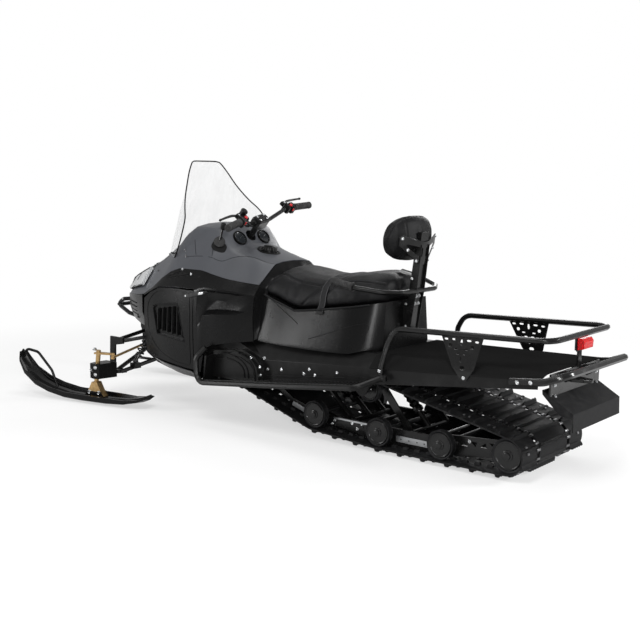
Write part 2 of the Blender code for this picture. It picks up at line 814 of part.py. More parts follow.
def make_deck():
    sections = []
    for x in (TUNNEL_REAR - 0.012, TUNNEL_REAR, -0.25, 0.10, DECK_FRONT):
        outer = folded(x, -DECK_SHEET - GAP, tunnel_fold(x) - 0.004)
        inner = folded(x, -GAP, tunnel_fold(x) - 0.004)
        sections.append(outer + list(reversed(inner)))
    object_from("cargo_deck", loft(sections, folded_sheet=True), "moulded black")


def toe_box():
    """The moulded cover on the tunnel's side at the front of the footwell, with its front wall."""
    inner = TUNNEL_HALF_WIDTH + BOARD_SHEET - GAP

    def outline(inset):
        return (
            (1.185 - inset, TOE_FLOOR),
            (1.160 - inset, 0.378 - inset),
            (0.954, 0.404 - inset),
            (0.868 + 0.4 * inset, 0.375 - inset),
            (0.828 + inset, 0.335 - 0.5 * inset),
            (0.810 + inset, TOE_FLOOR),
        )

    wall = ((1.150, 0.225), (1.162, 0.225), (1.142, 0.362), (1.130, 0.362))
    return (
        prism(outline(0.0), inner, inner + 0.030),
        prism(outline(0.016), inner + 0.020, inner + 0.044),
        prism(outline(0.036), inner + 0.035, inner + 0.050),
        prism(wall, inner + 0.010, 0.425),
    )


def make_boards(side):
    inner = TUNNEL_HALF_WIDTH + GAP

    def board_z(x):
        return tunnel_low(x) + 0.006

    sections = []
    for x in (BOARD_FRONT, 0.60, BOARD_REAR):
        z = board_z(x)
        outer = BOARD_EDGE_Y + 0.004
        sections.append(
            [
                (x, inner, z + 0.022),
                (x, inner + BOARD_SHEET, z + 0.022),
                (x, inner + BOARD_SHEET, z + BOARD_SHEET),
                (x, outer, z + BOARD_SHEET),
                (x, outer, z),
                (x, inner, z),
            ]
        )
    board = loft(sections)
    rise = BOARD_TUBE_RADIUS * 0.3
    knee_y = body_point(1.190, 2.4)[1] + BOARD_TUBE_RADIUS + 0.004
    path = (
        (1.150, knee_y, board_z(1.15) + 0.175),
        (1.192, BOARD_EDGE_Y, board_z(1.15) + 0.120),
        (1.178, BOARD_EDGE_Y + BOARD_TUBE_RADIUS * 0.5, board_z(1.15) - rise),
        (0.600, BOARD_EDGE_Y + BOARD_TUBE_RADIUS * 0.5, board_z(0.60) - rise),
        (0.150, BOARD_EDGE_Y + BOARD_TUBE_RADIUS * 0.5, board_z(0.13) - rise),
        (0.085, inner + BOARD_TUBE_RADIUS + 0.012, board_z(0.10) + 0.030),
        (0.065, inner + BOARD_TUBE_RADIUS + 0.006, board_z(0.10) + 0.030),
    )
    edge = tube(path, BOARD_TUBE_RADIUS, 0.05)
    axle_x, axle_z, _ = CARRIER
    outline = (
        (axle_x + 0.120, board_z(axle_x) + 0.026),
        (axle_x - 0.060, board_z(axle_x) + 0.026),
        (axle_x - 0.022, axle_z - 0.010),
        (axle_x - 0.006, axle_z - 0.022),
        (axle_x + 0.012, axle_z - 0.020),
    )
    bracket = prism(outline, inner, inner + 0.005)
    shape = merged(board, edge, bracket, *toe_box())
    if side == "right":
        mirrored(shape)
    object_from("running_board_%s" % side, shape, "satin black")


def tangent_belt(wheels):
    """Straight runs and arcs of a belt round wheels of (x, z, radius), all on its inside,
    given in order with the belt turning left at each. Returns pieces of the path."""
    joins = []
    count = len(wheels)
    for i in range(count):
        (x0, z0, r0), (x1, z1, r1) = wheels[i], wheels[(i + 1) % count]
        run = math.hypot(x1 - x0, z1 - z0)
        heading = math.atan2(z1 - z0, x1 - x0)
        lean = math.asin((r0 - r1) / run)
        normal = heading - math.pi / 2 + lean
        joins.append((normal, run * math.cos(lean)))
    pieces = []
    for i in range(count):
        start, length = joins[i]
        before = joins[i - 1][0]
        x, z, r = wheels[i]
        sweep = (start - before) % (2 * math.pi)
        pieces.append(("arc", x, z, r, before, sweep))
        pieces.append(("line", x + r * math.cos(start), z + r * math.sin(start), start, length))
    return pieces


def belt_point(pieces, distance, offset):
    """The point at a distance along the belt, moved out by the offset."""
    for piece in pieces:
        if piece[0] == "arc":
            _, x, z, r, start, sweep = piece
            length = r * sweep
            if distance <= length:
                angle = start + distance / r
                return (x + (r + offset) * math.cos(angle), z + (r + offset) * math.sin(angle))
        else:
            _, x, z, normal, length = piece
            if distance <= length:
                run = normal + math.pi / 2
                return (
                    x + distance * math.cos(run) + offset * math.cos(normal),
                    z + distance * math.sin(run) + offset * math.sin(normal),
                )
        distance -= length
    return belt_point(pieces, 0.0, offset)


def belt_length(pieces):
    return sum(p[3] * p[5] if p[0] == "arc" else p[4] for p in pieces)


def belt_wheels():
    """The wheels in the order in which the belt meets them, anticlockwise seen from the right."""
    order = [IDLER]
    order += [(x, z, r) for _, x, z, r in reversed(ROAD_WHEELS)]
    order += [SPROCKET, CARRIER]
    return [(x, z, r + WHEEL_GAP) for x, z, r in order]


def make_track():
    pieces = tangent_belt(belt_wheels())
    length = belt_length(pieces)
    count = round(length / TRACK_PITCH)
    pitch = length / count
    edge = TRACK_HALF_WIDTH
    across = (-edge, -0.152, -0.132, 0.132, 0.152, edge)
    marks = ((0.0, 0), (0.005, 1), (0.019, 1), (0.024, 0), (0.044, 0))
    shape = bmesh.new()
    rings = []
    for i in range(count):
        sides_high = i % 2 == 0
        tips = [LUG if (abs(y) > 0.14) == sides_high else LOW_LUG for y in across]
        for along, raised in marks:
            distance = (i + along / TRACK_PITCH) * pitch
            ring = []
            for y, tip in zip(across, tips):
                x, z = belt_point(pieces, distance, BELT + (tip if raised else 0.0))
                ring.append(shape.verts.new((x, y, z)))
            for y in (edge, -edge):
                x, z = belt_point(pieces, distance, 0.0)
                ring.append(shape.verts.new((x, y, z)))
            rings.append(ring)
    for one, other in zip(rings, rings[1:] + rings[:1]):
        for k in range(len(one)):
            m = (k + 1) % len(one)
            shape.faces.new((one[k], one[m], other[m], other[k]))
    object_from("track", shape, "rubber", smooth=25.0)


def wheel_profile(radius, reach):
    """One side of a wheel set, from the middle of its axle out to its end: (y, radius)."""
    face = WHEEL_OUTER_Y
    end = ((reach, AXLE_RADIUS),) if reach else ()
    return (
        (0.0, AXLE_RADIUS),
        (face - WHEEL_WIDTH, AXLE_RADIUS),
        (face - WHEEL_WIDTH, radius),
        (face, radius),
        (face - 0.010, radius * 0.76),
        (face - 0.010, radius * 0.34),
        (face + 0.006, AXLE_RADIUS),
    ) + end


def wheel_set(name, x, z, radius, sides=18, reach=0.0):
    half = wheel_profile(radius, reach)
    whole = [(-y, r) for y, r in reversed(half[1:])] + list(half[1:])
    object_from(name, turned(whole, (x, z), sides), "rubber")


def make_wheels():
    for name, x, z, radius in ROAD_WHEELS:
        wheel_set(name, x, z, radius)
    wheel_set("rear_idler_wheels", *IDLER, sides=20)
    wheel_set("carrier_wheels", *CARRIER, reach=TUNNEL_HALF_WIDTH)
    x, z, r = SPROCKET
    half = (
        (0.095, AXLE_RADIUS + 0.004),
        (0.095, r * 0.82),
        (0.100, r),
        (0.135, r),
        (0.140, r * 0.82),
        (0.140, AXLE_RADIUS + 0.004),
        (TUNNEL_HALF_WIDTH - TUNNEL_SHEET - GAP, AXLE_RADIUS + 0.004),
    )
    whole = [(-y, radius) for y, radius in reversed(half)] + list(half)
    object_from("drive_shaft", turned(whole, (x, z), 18), "satin black")


def belt_under(x):
    """The height of the belt's inner face on its lower run."""
    for piece in tangent_belt(belt_wheels()):
        if piece[0] == "line" and math.cos(piece[3] + math.pi / 2) > 0:
            _, px, pz, normal, length = piece
            run = normal + math.pi / 2
            t = (x - px) / math.cos(run)
            if 0 <= t <= length:
                return pz + t * math.sin(run)
    return None


def axle_bore(x, z, y_low, y_high):
    flats = 12
    return rod((x, y_low, z), (x, y_high, z), (AXLE_RADIUS + GAP) / math.cos(math.pi / flats), flats)


def make_slide_frame():
    """Both rails that press the belt down, their rear plates, the tubes across, and the two arms
    with their dampers that hang it all from the tunnel."""
    bottom = [(x, belt_under(x) + 2 * GAP) for x in (-0.170, 0.140, 0.185)]
    rail_outline = bottom + [
        (0.60, 0.0795),
        (0.70, 0.119),
        (0.790, 0.156),
        (0.850, 0.205),
        (0.838, 0.222),
        (0.740, 0.162),
        (0.640, 0.136),
        (0.560, RAIL_TOP + 0.020),
        (0.450, RAIL_TOP),
        (-0.170, RAIL_TOP),
    ]
    low, high = RAIL_Y - RAIL_THICKNESS / 2, RAIL_Y + RAIL_THICKNESS / 2
    shapes, cutters = [], []
    for sign in (1.0, -1.0):
        rail = prism(rail_outline, low, high)
        plate = prism(REAR_PLATE, high - 0.002, high + 0.006)
        for shape in (rail, plate):
            shapes.append(shape if sign > 0 else mirrored(shape))
        for name, x, z, radius in ROAD_WHEELS:
            cutters.append(axle_bore(x, z, sign * (low - 0.02), sign * (high + 0.02)))
        cutters.append(axle_bore(IDLER[0], IDLER[1], sign * (low - 0.02), sign * (high + 0.02)))
        for i in range(5):
            x = -0.225 - 0.048 * i
            z = 0.103 + 0.004 * i
            up = 0.011 if i % 2 else -0.011
            hole = ((x + 0.018, z - up), (x - 0.018, z - up), (x - 0.012, z + up))
            cutters.append(prism(hole, min(0, sign), max(0, sign)))
    for x, z in CROSS_TUBES:
        reach = high + 0.003
        shapes.append(rod((x, -reach, z), (x, reach, z), 0.010, 8))
    shapes += track_arms(low + 0.003)
    cutters.append(axle_bore(CARRIER[0], CARRIER[1], -0.18, 0.18))
    object_from("slide_frame", carved(merged(*shapes), *cutters), "satin black")


def track_arms(reach):
    """The arms and their dampers. Their lower cross shafts end in the rails, at the reach."""
    wall = TUNNEL_HALF_WIDTH - TUNNEL_SHEET - GAP
    front_top, front_foot = FRONT_ARM
    shapes = [
        rod((front_top[0], -wall, front_top[1]), (front_top[0], wall, front_top[1]), 0.013, 8),
        rod((front_foot[0], -reach, front_foot[1]), (front_foot[0], reach, front_foot[1]), 0.011, 8),
    ]
    for y in (-0.130, 0.130):
        shapes.append(rod((front_top[0], y, front_top[1]), (front_foot[0], y, front_foot[1]), 0.012, 8))
    shapes.append(damper((front_top[0], 0, front_top[1]), (front_foot[0], 0, front_foot[1])))
    x, z, _ = CARRIER
    foot_x, foot_z = REAR_ARM_FOOT
    shapes += [
        rod((foot_x, -reach, foot_z), (foot_x, reach, foot_z), 0.011, 8),
        rod((x, -0.018, z), (x, 0.018, z), 0.020, 12),
        damper((x, 0, z), (foot_x, 0, foot_z)),
    ]
    outline = (
        (foot_x + 0.014, foot_z - 0.010),
        (foot_x - 0.010, foot_z - 0.012),
        (foot_x - 0.012, foot_z + 0.012),
        (x - 0.022, z + 0.006),
        (x - 0.008, z + 0.021),
        (x + 0.014, z + 0.016),
        (x + 0.021, z - 0.004),
    )
    for sign in (1.0, -1.0):
        plate = prism(outline, 0.146, 0.154)
        shapes.append(plate if sign > 0 else mirrored(plate))
    return shapes


def damper(top, foot):
    """A coil-over damper between two cross shafts."""
    profile = [(0.0, 0.010), (0.16, 0.010), (0.16, 0.026), (0.20, 0.026)]
    for i in range(8):
        profile.append((0.22 + 0.052 * i, 0.027 if i % 2 else 0.020))
    profile += [(0.62, 0.026), (0.65, 0.026), (0.65, 0.013), (1.0, 0.013)]
    return lathe_between(top, foot, profile, 10)


def seat_column(x, column):
    return eased(x, [row[0] for row in SEAT], [row[column] for row in SEAT])


def make_seat_base():
    sections = []
    for x in SEAT_STATIONS:
        foot, rim, rim_z = (seat_column(x, c) for c in (1, 2, 3))
        floor = tunnel_top(x) + GAP if x > DECK_FRONT else tunnel_top(x) + DECK_SHEET + 2 * GAP
        low = floor - 0.030 * max(0.0, (foot - TUNNEL_TOP_HALF_WIDTH) / 0.05)
        inside = min(foot - 0.006, TUNNEL_TOP_HALF_WIDTH + 0.001)
        half = [(inside, floor), (foot, low + 0.012), (foot - 0.002, low + 0.03), (rim, rim_z)]
        sections.append([(x, y, z) for y, z in half] + [(x, -y, z) for y, z in reversed(half)])
    object_from("seat_base", loft(sections), "moulded black")


def make_cushion():
    sections = []
    for x in SEAT_STATIONS:
        rim, rim_z, top_z, flat = (seat_column(x, c) for c in (2, 3, 4, 5))
        foot = rim_z + 2 * GAP
        side = rim - 0.002
        half = [
            (side - 0.01, foot),
            (side, foot + (top_z - foot) * 0.25),
            (side - (side - flat) * 0.35, foot + (top_z - foot) * 0.70),
            (flat, top_z - 0.012),
            (flat * 0.55, top_z),
        ]
        sections.append([(x, y, z) for y, z in half] + [(x, -y, z) for y, z in reversed(half)])
    object_from("seat_cushion", loft(sections), "vinyl")


def make_backrest():
    """The post behind the seat with the passenger's rail welded to it, and its cushion."""
    post_x = SEAT_REAR
    post = prism(
        (
            (post_x - 0.036, 0.540),
            (post_x - GAP, 0.540),
            (post_x - GAP, 0.690),
            (post_x - 0.026, 0.700),
            (post_x - 0.075, 1.020),
            (post_x - 0.100, 1.020),
            (post_x - 0.060, 0.700),
        ),
        -0.030,
        0.030,
    )
    arm = [
        (0.420, 0.285, 0.790),
        (0.280, 0.283, 0.765),
        (0.175, 0.225, 0.748),
        (post_x - 0.068, 0.140, 0.742),
    ]
    path = arm + [(x, -y, z) for x, y, z in reversed(arm)]
    object_from("backrest_frame", merged(post, tube(path, 0.0125, 0.06)), "satin black")
    sections = []
    middle_x, middle_z = post_x - 0.018, 0.990
    for i in range(11):
        t = -1 + 2 * i / 10
        swell = math.sqrt(max(0.0, 1 - abs(t) ** 2.8)) * 0.90 + 0.10
        ring = []
        for k in range(14):
            angle = 2 * math.pi * k / 14
            dx = BACKREST_DEPTH * math.cos(angle) * swell + BACKREST_WRAP * t * t
            dz = BACKREST_HALF_HEIGHT * math.sin(angle) * swell
            ring.append((middle_x + dx - 0.12 * dz, BACKREST_HALF_WIDTH * t, middle_z + dz))
        sections.append(ring)
    cushion = loft(sections)
    keep_out = prism(
        (
            (post_x - 0.140, 0.60),
            (post_x - 0.0257, 0.60),
            (post_x - 0.0257, 0.700),
            (post_x - 0.0747, 1.0203),
            (post_x - 0.140, 1.0203),
        ),
        -0.0303,
        0.0303,
    )
    object_from("backrest_cushion", carved(cushion, keep_out), "vinyl")


def rack_z(x):
    return RACK_Z - x * RACK_RISE / 0.70


def make_rack():
    x_bend = 0.045
    foot_y = DECK_OUTER + RACK_TUBE + GAP
    side = [
        (0.100, foot_y, tunnel_fold(0.1) - 0.026),
        (0.099, foot_y, tunnel_fold(0.1) + 0.012),
        (0.084, RACK_HALF_WIDTH, rack_z(0.0) - 0.070),
        (x_bend, RACK_HALF_WIDTH, rack_z(0.0)),
        (RACK_REAR, RACK_HALF_WIDTH, rack_z(RACK_REAR)),
    ]
    path = side + [(x, -y, z) for x, y, z in reversed(side)]
    shapes = [tube(path, RACK_TUBE, 0.07)]
    for sign in (1.0, -1.0):
        sections = []
        for x0, x1, z, y in RACK_PLATE:
            t = RACK_PLATE_SHEET / 2
            ring = [(x0, y - t, z), (x1, y - t, z), (x1, y + t, z), (x0, y + t, z)]
            sections.append([(x, py * sign, pz) for x, py, pz in ring])
        shapes.append(loft(sections))
    holes = []
    for x, z, long, high in RACK_HOLES:
        corners = ((x - long, z), (x - long * 0.6, z + high), (x + long * 0.6, z + high))
        corners += ((x + long, z), (x + long * 0.6, z - high), (x - long * 0.6, z - high))
        holes.append(prism(corners, -0.4, 0.4))
    object_from("cargo_rack", carved(merged(*shapes), *holes), "satin black")


def make_taillight():
    """The lamp on the end of its bracket, turned to the rear."""
    x = LAMP_X - GAP
    outline = ((x, 0.552), (x, 0.606), (x - 0.022, 0.604), (x - 0.032, 0.590), (x - 0.030, 0.560))
    object_from("taillight", prism(outline, LAMP_Y - 0.045, LAMP_Y + 0.045), "lamp red")


def rear_bumper_bar():
    y = DECK_OUTER + BUMPER_TUBE + GAP
    side = [
        (-0.560, y, 0.446),
        (-0.712, y, 0.463),
        (BUMPER_REAR, TUNNEL_HALF_WIDTH - 0.010, 0.495),
    ]
    path = side + [(px, -py, pz) for px, py, pz in reversed(side)]
    return tube(path, BUMPER_TUBE, 0.07)


def make_flap():
    """The snow flap: a sloping sheet, its upright lower part and a flange down each side."""
    half, t = FLAP_HALF_WIDTH, FLAP_SHEET
    sheet = prism(
        (
            (-0.655, 0.4085),
            (-0.797, 0.325),
            (-0.800, 0.250),
            (-0.800 + t, 0.250),
            (-0.797 + t, 0.3215),
            (-0.655, 0.4015),
        ),
        -half,
        half,
    )
    shapes = [sheet]
    for sign in (1.0, -1.0):
        flange = prism(
            ((-0.655, 0.4075), (-0.797, 0.324), (-0.797, 0.300), (-0.735, 0.314), (-0.657, 0.390)),
            half - t,
            half + 0.001,
        )
        shapes.append(flange if sign > 0 else mirrored(flange))
    object_from("snow_flap", merged(*shapes), "rubber")


def make_rear_bumper():
    """The bumper with the plate across the tunnel's end, the tow tongue and the lamp's bracket."""
    back = END_PLATE - 0.008
    shapes = [box((back, -0.235, 0.384), (END_PLATE, 0.235, 0.4785))]
    tongue = ((END_PLATE, -0.045), (END_PLATE, 0.045), (TOW_EYE_X, 0.030), (TOW_EYE_X, -0.030))
    shapes.append(slab(tongue, 0.418, 0.430))
    shapes.append(rod((TOW_EYE_X, 0, 0.418), (TOW_EYE_X, 0, 0.430), 0.030, 16))
    side = (
        (END_PLATE, 0.420),
        (-0.785, 0.480),
        (-0.795, 0.495),
        (-0.785, 0.508),
        (END_PLATE, 0.470),
    )
    for y in (-0.110, 0.095):
        shapes.append(prism(side, y, y + 0.006))
    shapes.append(box((back, LAMP_Y - 0.016, 0.470), (END_PLATE, LAMP_Y + 0.016, 0.560)))
    shapes.append(box((LAMP_X, LAMP_Y - 0.040, 0.550), (END_PLATE, LAMP_Y + 0.040, 0.604)))
    eye = rod((TOW_EYE_X, 0, 0.40), (TOW_EYE_X, 0, 0.45), TOW_EYE_RADIUS, 16)
    shapes.append(rear_bumper_bar())
    flap_gap = prism(((-0.62, 0.4293), (-0.797, 0.3253), (-0.797, 0.30), (-0.62, 0.30)), -0.3, 0.3)
    object_from("rear_bumper", carved(merged(*shapes), flap_gap, eye), "satin black")


def hood_height(x, y):
    """About the height of the hood's skin over a point of the floor."""
    lines = [4.0 + 2.0 * i / 80 for i in range(81)]
    return min((body_point(x, line) for line in lines), key=lambda point: abs(point[1] - abs(y)))[2]


def make_windshield():
    grid = []
    for z, half, middle in SCREEN:
        row = []
        for i in range(11):
            y = half * (-1 + 2 * i / 10)
            row.append((middle - SCREEN_CURVE * y * y, y, z))
        grid.append(row)
    half, middle = SCREEN_FOOT
    row = []
    for i in range(11):
        y = half * (-1 + 2 * i / 10)
        x = middle - SCREEN_CURVE * y * y
        row.append((x, y, hood_height(x, y) - 0.006))
    grid.append(row)
    object_from("windshield", standing_on_hood(shell(grid, SCREEN_SHEET)), "clear")


def make_headlamp():
    """The clear lens that wraps the nose, standing on the hood just over its front edge."""
    left = []
    for x in (1.74, 1.82, 1.90, 1.97, 2.03, 2.07):
        low, high = (body_point(x, line) for line in (4.30, 4.92))
        lift = Vector((LENS * 0.4, LENS * 0.6, LENS * 0.7))
        left.append([Vector(low) + lift, Vector(high) + lift])
    right = [[Vector((p.x, -p.y, p.z)) for p in row] for row in reversed(left)]
    lens = shell(left + right, 2.6 * LENS)
    object_from("headlamp", standing_on_hood(lens), "lamp white")


def bumper_loop(grown=0.0):
    """The left half of the front bumper: a bent bar from the bulkhead out of the nose and back."""
    path = (
        (1.960 + GAP - grown, 0.090, 0.430),
        (2.060, 0.150, 0.470),
        (2.160, 0.150, 0.515),
        (2.105, 0.150, 0.548),
        (2.020, 0.105, 0.556),
    )
    return tube(path, 0.012 + grown, 0.022)


def make_front_bumper():
    shapes = [bumper_loop(), mirrored(bumper_loop())]
    shapes.append(rod((2.150, -0.150, 0.512), (2.150, 0.150, 0.512), 0.012, 8))
    behind = box((1.80, -0.2, 0.35), (1.960 + GAP, 0.2, 0.49))
    object_from("front_bumper", carved(merged(*shapes), behind), "satin black")


def spindle_point(z):
    """The spindle axis leans back: its station at a height."""
    return SPINDLE_X - (z - 0.10) * math.tan(CASTER)


def make_arms(side):
    """The upper and the lower suspension arm, each two rods from the bulkhead to the knuckle."""
    inner, out = BULKHEAD_HALF - 0.010, ARM_OUTER_Y
    clear_of_core = box((1.5, 0.0, 0.1), (2.1, BULKHEAD_HALF + GAP, 0.6))
    high = [
        rod((1.905, inner, 0.386), (1.905, out - 0.010, 0.352), 0.011, 8),
        rod((1.690, inner, 0.392), (1.850, out - 0.010, 0.352), 0.011, 8),
        slab(((1.835, out - 0.045), (1.915, out - 0.045), (1.925, out), (1.840, out)), 0.345, 0.359),
    ]
    low = [
        rod((1.916, inner, 0.277), (1.935, out - 0.020, 0.170), 0.012, 8),
        rod((1.650, inner, 0.290), (1.890, out - 0.020, 0.170), 0.012, 8),
        rod((1.926, 0.235, 0.235), (1.749, 0.235, 0.2402), 0.008, 8),
        slab(((1.880, out - 0.050), (1.950, out - 0.050), (1.955, out), (1.900, out)), 0.160, 0.180),
        box((1.804, 0.285, 0.192), (1.846, 0.330, DAMPER_FOOT - GAP)),
    ]
    for name, shapes in (("upper_arm", high), ("lower_arm", low)):
        cutter = clear_of_core.copy()
        shape = carved(merged(*shapes), cutter)
        if side == "right":
            mirrored(shape)
        object_from("%s_%s" % (name, side), shape, "satin black")
    clear_of_core.free()


def lathe_between(start, end, profile, sides=12):
    """A profile of (fraction along, radius) turned about the line from start to end."""
    start, end = Vector(start), Vector(end)
    path = [start + (end - start) * t for t, _ in profile]
    heading = (end - start).normalized()
    across = heading.orthogonal().normalized()
    other = heading.cross(across)
    sections = []
    for point, (_, radius) in zip(path, profile):
        sections.append(
            [
                point + (across * math.cos(a) + other * math.sin(a)) * radius
                for a in (2 * math.pi * k / sides for k in range(sides))
            ]
        )
    return loft(sections)


def make_front_shock(side):
    """The coil-over damper from the bulkhead's upper corner to the lower arm."""
    start, end = (1.785, 0.180, 0.455), (1.825, 0.311, 0.205)
    profile = [(0.0, 0.010), (0.06, 0.010), (0.06, 0.026), (0.09, 0.026)]
    coils = 5
    for i in range(coils * 2):
        t = 0.11 + 0.62 * i / (coils * 2 - 1)
        profile.append((t, 0.027 if i % 2 else 0.020))
    profile += [(0.76, 0.026), (0.79, 0.026), (0.79, 0.013), (0.97, 0.013), (0.97, 0.008), (1.0, 0.008)]
    above = box((1.7, 0.1, DAMPER_TOP - GAP), (1.9, 0.4, 0.6))
    below = box((1.7, 0.1, 0.1), (1.9, 0.4, DAMPER_FOOT))
    shape = carved(lathe_between(start, end, profile, 10), above, below)
    if side == "right":
        mirrored(shape)
    object_from("front_shock_%s" % side, shape, "satin black")


def make_knuckle(side):
    """The cast housing that the spindle turns in, with the arms' outer ends on its inner side."""
    low, high = 0.140, 0.225
    x = spindle_point(0.18)
    y = SPINDLE_Y
    arm_face = ARM_OUTER_Y + GAP
    outline = (
        (x - 0.060, arm_face),
        (x + 0.030, arm_face),
        (x + 0.038, y - 0.020),
        (x + 0.030, y + 0.026),
        (x - 0.010, y + 0.036),
        (x - 0.040, y + 0.020),
    )
    block = slab(outline, low, high)
    upright_outline = (
        (x - 0.055, 0.200),
        (x - 0.012, 0.200),
        (x - 0.020, 0.372),
        (x - 0.130, 0.372),
        (x - 0.130, 0.338),
        (x - 0.060, 0.325),
    )
    upright = prism(upright_outline, arm_face, arm_face + 0.012)
    bore_low, bore_high = 0.05, 0.40
    bore = rod(
        (spindle_point(bore_low), y, bore_low),
        (spindle_point(bore_high), y, bore_high),
        SPINDLE_RADIUS + 2 * GAP,
        16,
    )
    shape = carved(merged(block, upright), bore)
    if side == "right":
        mirrored(shape)
    object_from("knuckle_%s" % side, shape, "moulded black")


def make_spindle(side, parent, pivot):
    sign = SIGN[side]
    y = SPINDLE_Y * sign
    shaft = rod(
        (spindle_point(0.060), y, 0.060), (spindle_point(0.300), y, 0.300), SPINDLE_RADIUS, 16
    )
    saddle = prism(
        (
            (SPINDLE_X - 0.060, SADDLE_FOOT),
            (SPINDLE_X + 0.060, SADDLE_FOOT),
            (SPINDLE_X + 0.016, 0.118),
            (SPINDLE_X - 0.020, 0.118),
        ),
        y - 0.020,
        y + 0.020,
    )
    top = spindle_point(STEERING_ARM_Z)
    end = (top - STEERING_ARM, y - sign * 0.012)
    outline = (
        (top + 0.020, y - 0.016),
        (top + 0.020, y + 0.016),
        (end[0], end[1] + 0.011),
        (end[0] - 0.012, end[1]),
        (end[0], end[1] - 0.011),
    )
    arm = slab(outline, STEERING_ARM_Z - 0.010, STEERING_ARM_Z)
    object_from("spindle_%s" % side, merged(shaft, saddle, arm), "gold", pivot, parent)


def make_ski(side, parent, pivot):
    sign = SIGN[side]
    sections = []
    for ahead, z, half, edge in SKI:
        keel = KEEL_DEPTH if -0.2 < ahead < 0.3 else KEEL_DEPTH * 0.4
        t = SKI_THICKNESS
        rib = min(0.026, half - 0.014)
        outline = [
            (-half, z + edge),
            (-half, z + 0.004),
            (-0.020, z),
            (0.0, z - keel),
            (0.020, z),
            (half, z + 0.004),
            (half, z + edge),
            (half - 0.008, z + edge),
            (half - 0.012, z + t + 0.004),
            (rib, z + t),
            (rib - 0.012, z + t + 0.012),
            (0.012 - rib, z + t + 0.012),
            (-rib, z + t),
            (-half + 0.012, z + t + 0.004),
            (-half + 0.008, z + edge),
        ]
        sections.append([(SPINDLE_X + ahead, SPINDLE_Y * sign + y, zz) for y, zz in outline])
    y = SPINDLE_Y * sign
    path = [
        (SPINDLE_X + 0.290, y, 0.0500),
        (SPINDLE_X + 0.330, y, 0.150),
        (SPINDLE_X + 0.430, y, 0.250),
        (SPINDLE_X + 0.520, y, 0.262),
        (SPINDLE_X + 0.538, y, 0.2150),
    ]
    shape = merged(loft(sections), tube(path, LOOP_RADIUS, 0.05))
    object_from("ski_%s" % side, shape, "moulded black", pivot, parent)


def turned_point(point, pivot, turn):
    """A station turned about the leant steering axis through the pivot."""
    lean = Matrix.Rotation(-CASTER, 4, "Y")
    turning = lean @ Matrix.Rotation(turn, 4, "Z") @ lean.inverted()
    return turning @ (Vector(point) - Vector(pivot)) + Vector(pivot)


def make_tie_rod(side):
    sign = SIGN[side]
    y = SPINDLE_Y * sign
    pivot = (spindle_point(STEERING_ARM_Z), y, STEERING_ARM_Z)
    ball = (pivot[0] - STEERING_ARM, y - sign * 0.012, STEERING_ARM_Z - 0.010 - GAP)
    ball = turned_point(ball, pivot, STEER_AT_REST)
    parent = pivot_empty("tie_rod_axis_%s" % side, ball, CASTER)
    inner = Vector((ball.x, sign * 0.168, ball.z + 0.045))
    start = Vector(ball)
    stud = merged(
        rod(start - Vector((0, 0, 0.020)), start - Vector((0, 0, 0.0015)), 0.007, 10),
        rod(start - Vector((0, 0, 0.004)), start, 0.002, 8),
    )
    bar = rod(start - Vector((0, 0, 0.014)), inner, 0.007, 10)
    eye = rod(start - Vector((0, 0, 0.022)), start - Vector((0, 0, 0.006)), 0.012, 12)
    object_from("tie_rod_%s" % side, merged(eye, stud, bar), "gold", ball, parent)


def make_steered(side):
    sign = SIGN[side]
    pivot = (SPINDLE_X, SPINDLE_Y * sign, 0.10)
    parent = pivot_empty("spindle_axis_%s" % side, pivot, CASTER, STEER_AT_REST)
    make_spindle(side, parent, pivot)
    make_ski(side, parent, pivot)
    make_tie_rod(side)


def column_frame(along, back=0.0, y=0.0):
    """A station given by its distance up the steering column and behind it."""
    s, c = math.sin(COLUMN_LEAN), math.cos(COLUMN_LEAN)
    return (COLUMN_X - along * s - back * c, y, COLUMN_Z + along * c - back * s)


def make_handlebar():
    pivot = column_frame(0.0)
    parent = pivot_empty("column_axis", pivot, COLUMN_LEAN, STEER_AT_REST)
    grip_along, grip_back = 0.300, 0.035
    half = [
        column_frame(0.215, 0.0, 0.0),
        column_frame(0.225, 0.002, 0.090),
        column_frame(0.290, 0.006, 0.200),
        column_frame(grip_along, grip_back, BAR_HALF - 0.004),
    ]
    path = [(x, -y, z) for x, y, z in reversed(half[1:])] + half
    bar = tube(path, BAR_RADIUS, 0.05)
    grips = []
    for sign in (1.0, -1.0):
        start = Vector(half[-1])
        inward = (Vector(half[-2]) - start).normalized()
        a, b = start - inward * 0.004, start + inward * GRIP_LENGTH
        profile = [(along, GRIP_RADIUS * swell) for along, swell in GRIP_PROFILE]
        grip = lathe_between(a, b, profile, 12)
        if sign < 0:
            mirrored(grip)
        grips.append(grip)
    column = rod(column_frame(0.0), column_frame(0.215), COLUMN_RADIUS, 12)
    clamp = box((-0.028, -0.045, -0.020), (0.028, 0.045, 0.030))
    tilt = Matrix.Translation(column_frame(0.215)) @ Matrix.Rotation(-COLUMN_LEAN, 4, "Y")
    bmesh.ops.transform(clamp, verts=clamp.verts, matrix=tilt)
    object_from("handlebar", merged(bar, *grips, column, clamp), "satin black", pivot, parent)


def make_fuel_cap():
    x, y = 1.085, 0.0
    z = hood_height(x, y)
    profile = ((0.0, 0.045), (0.7, 0.045), (1.0, 0.038))
    shape = lathe_between((x, y, z - 0.012), (x, y, z + 0.022), profile, 20)
    object_from("fuel_cap", standing_on_hood(shape), "moulded black")


def body_normal(x, line):
    """The outward direction of the body's skin at a point of its left half."""
    step = 0.01
    along = Vector(body_point(x + step, line)) - Vector(body_point(x - step, line))
    over = Vector(body_point(x, line + step)) - Vector(body_point(x, line - step))
    return along.cross(over).normalized()


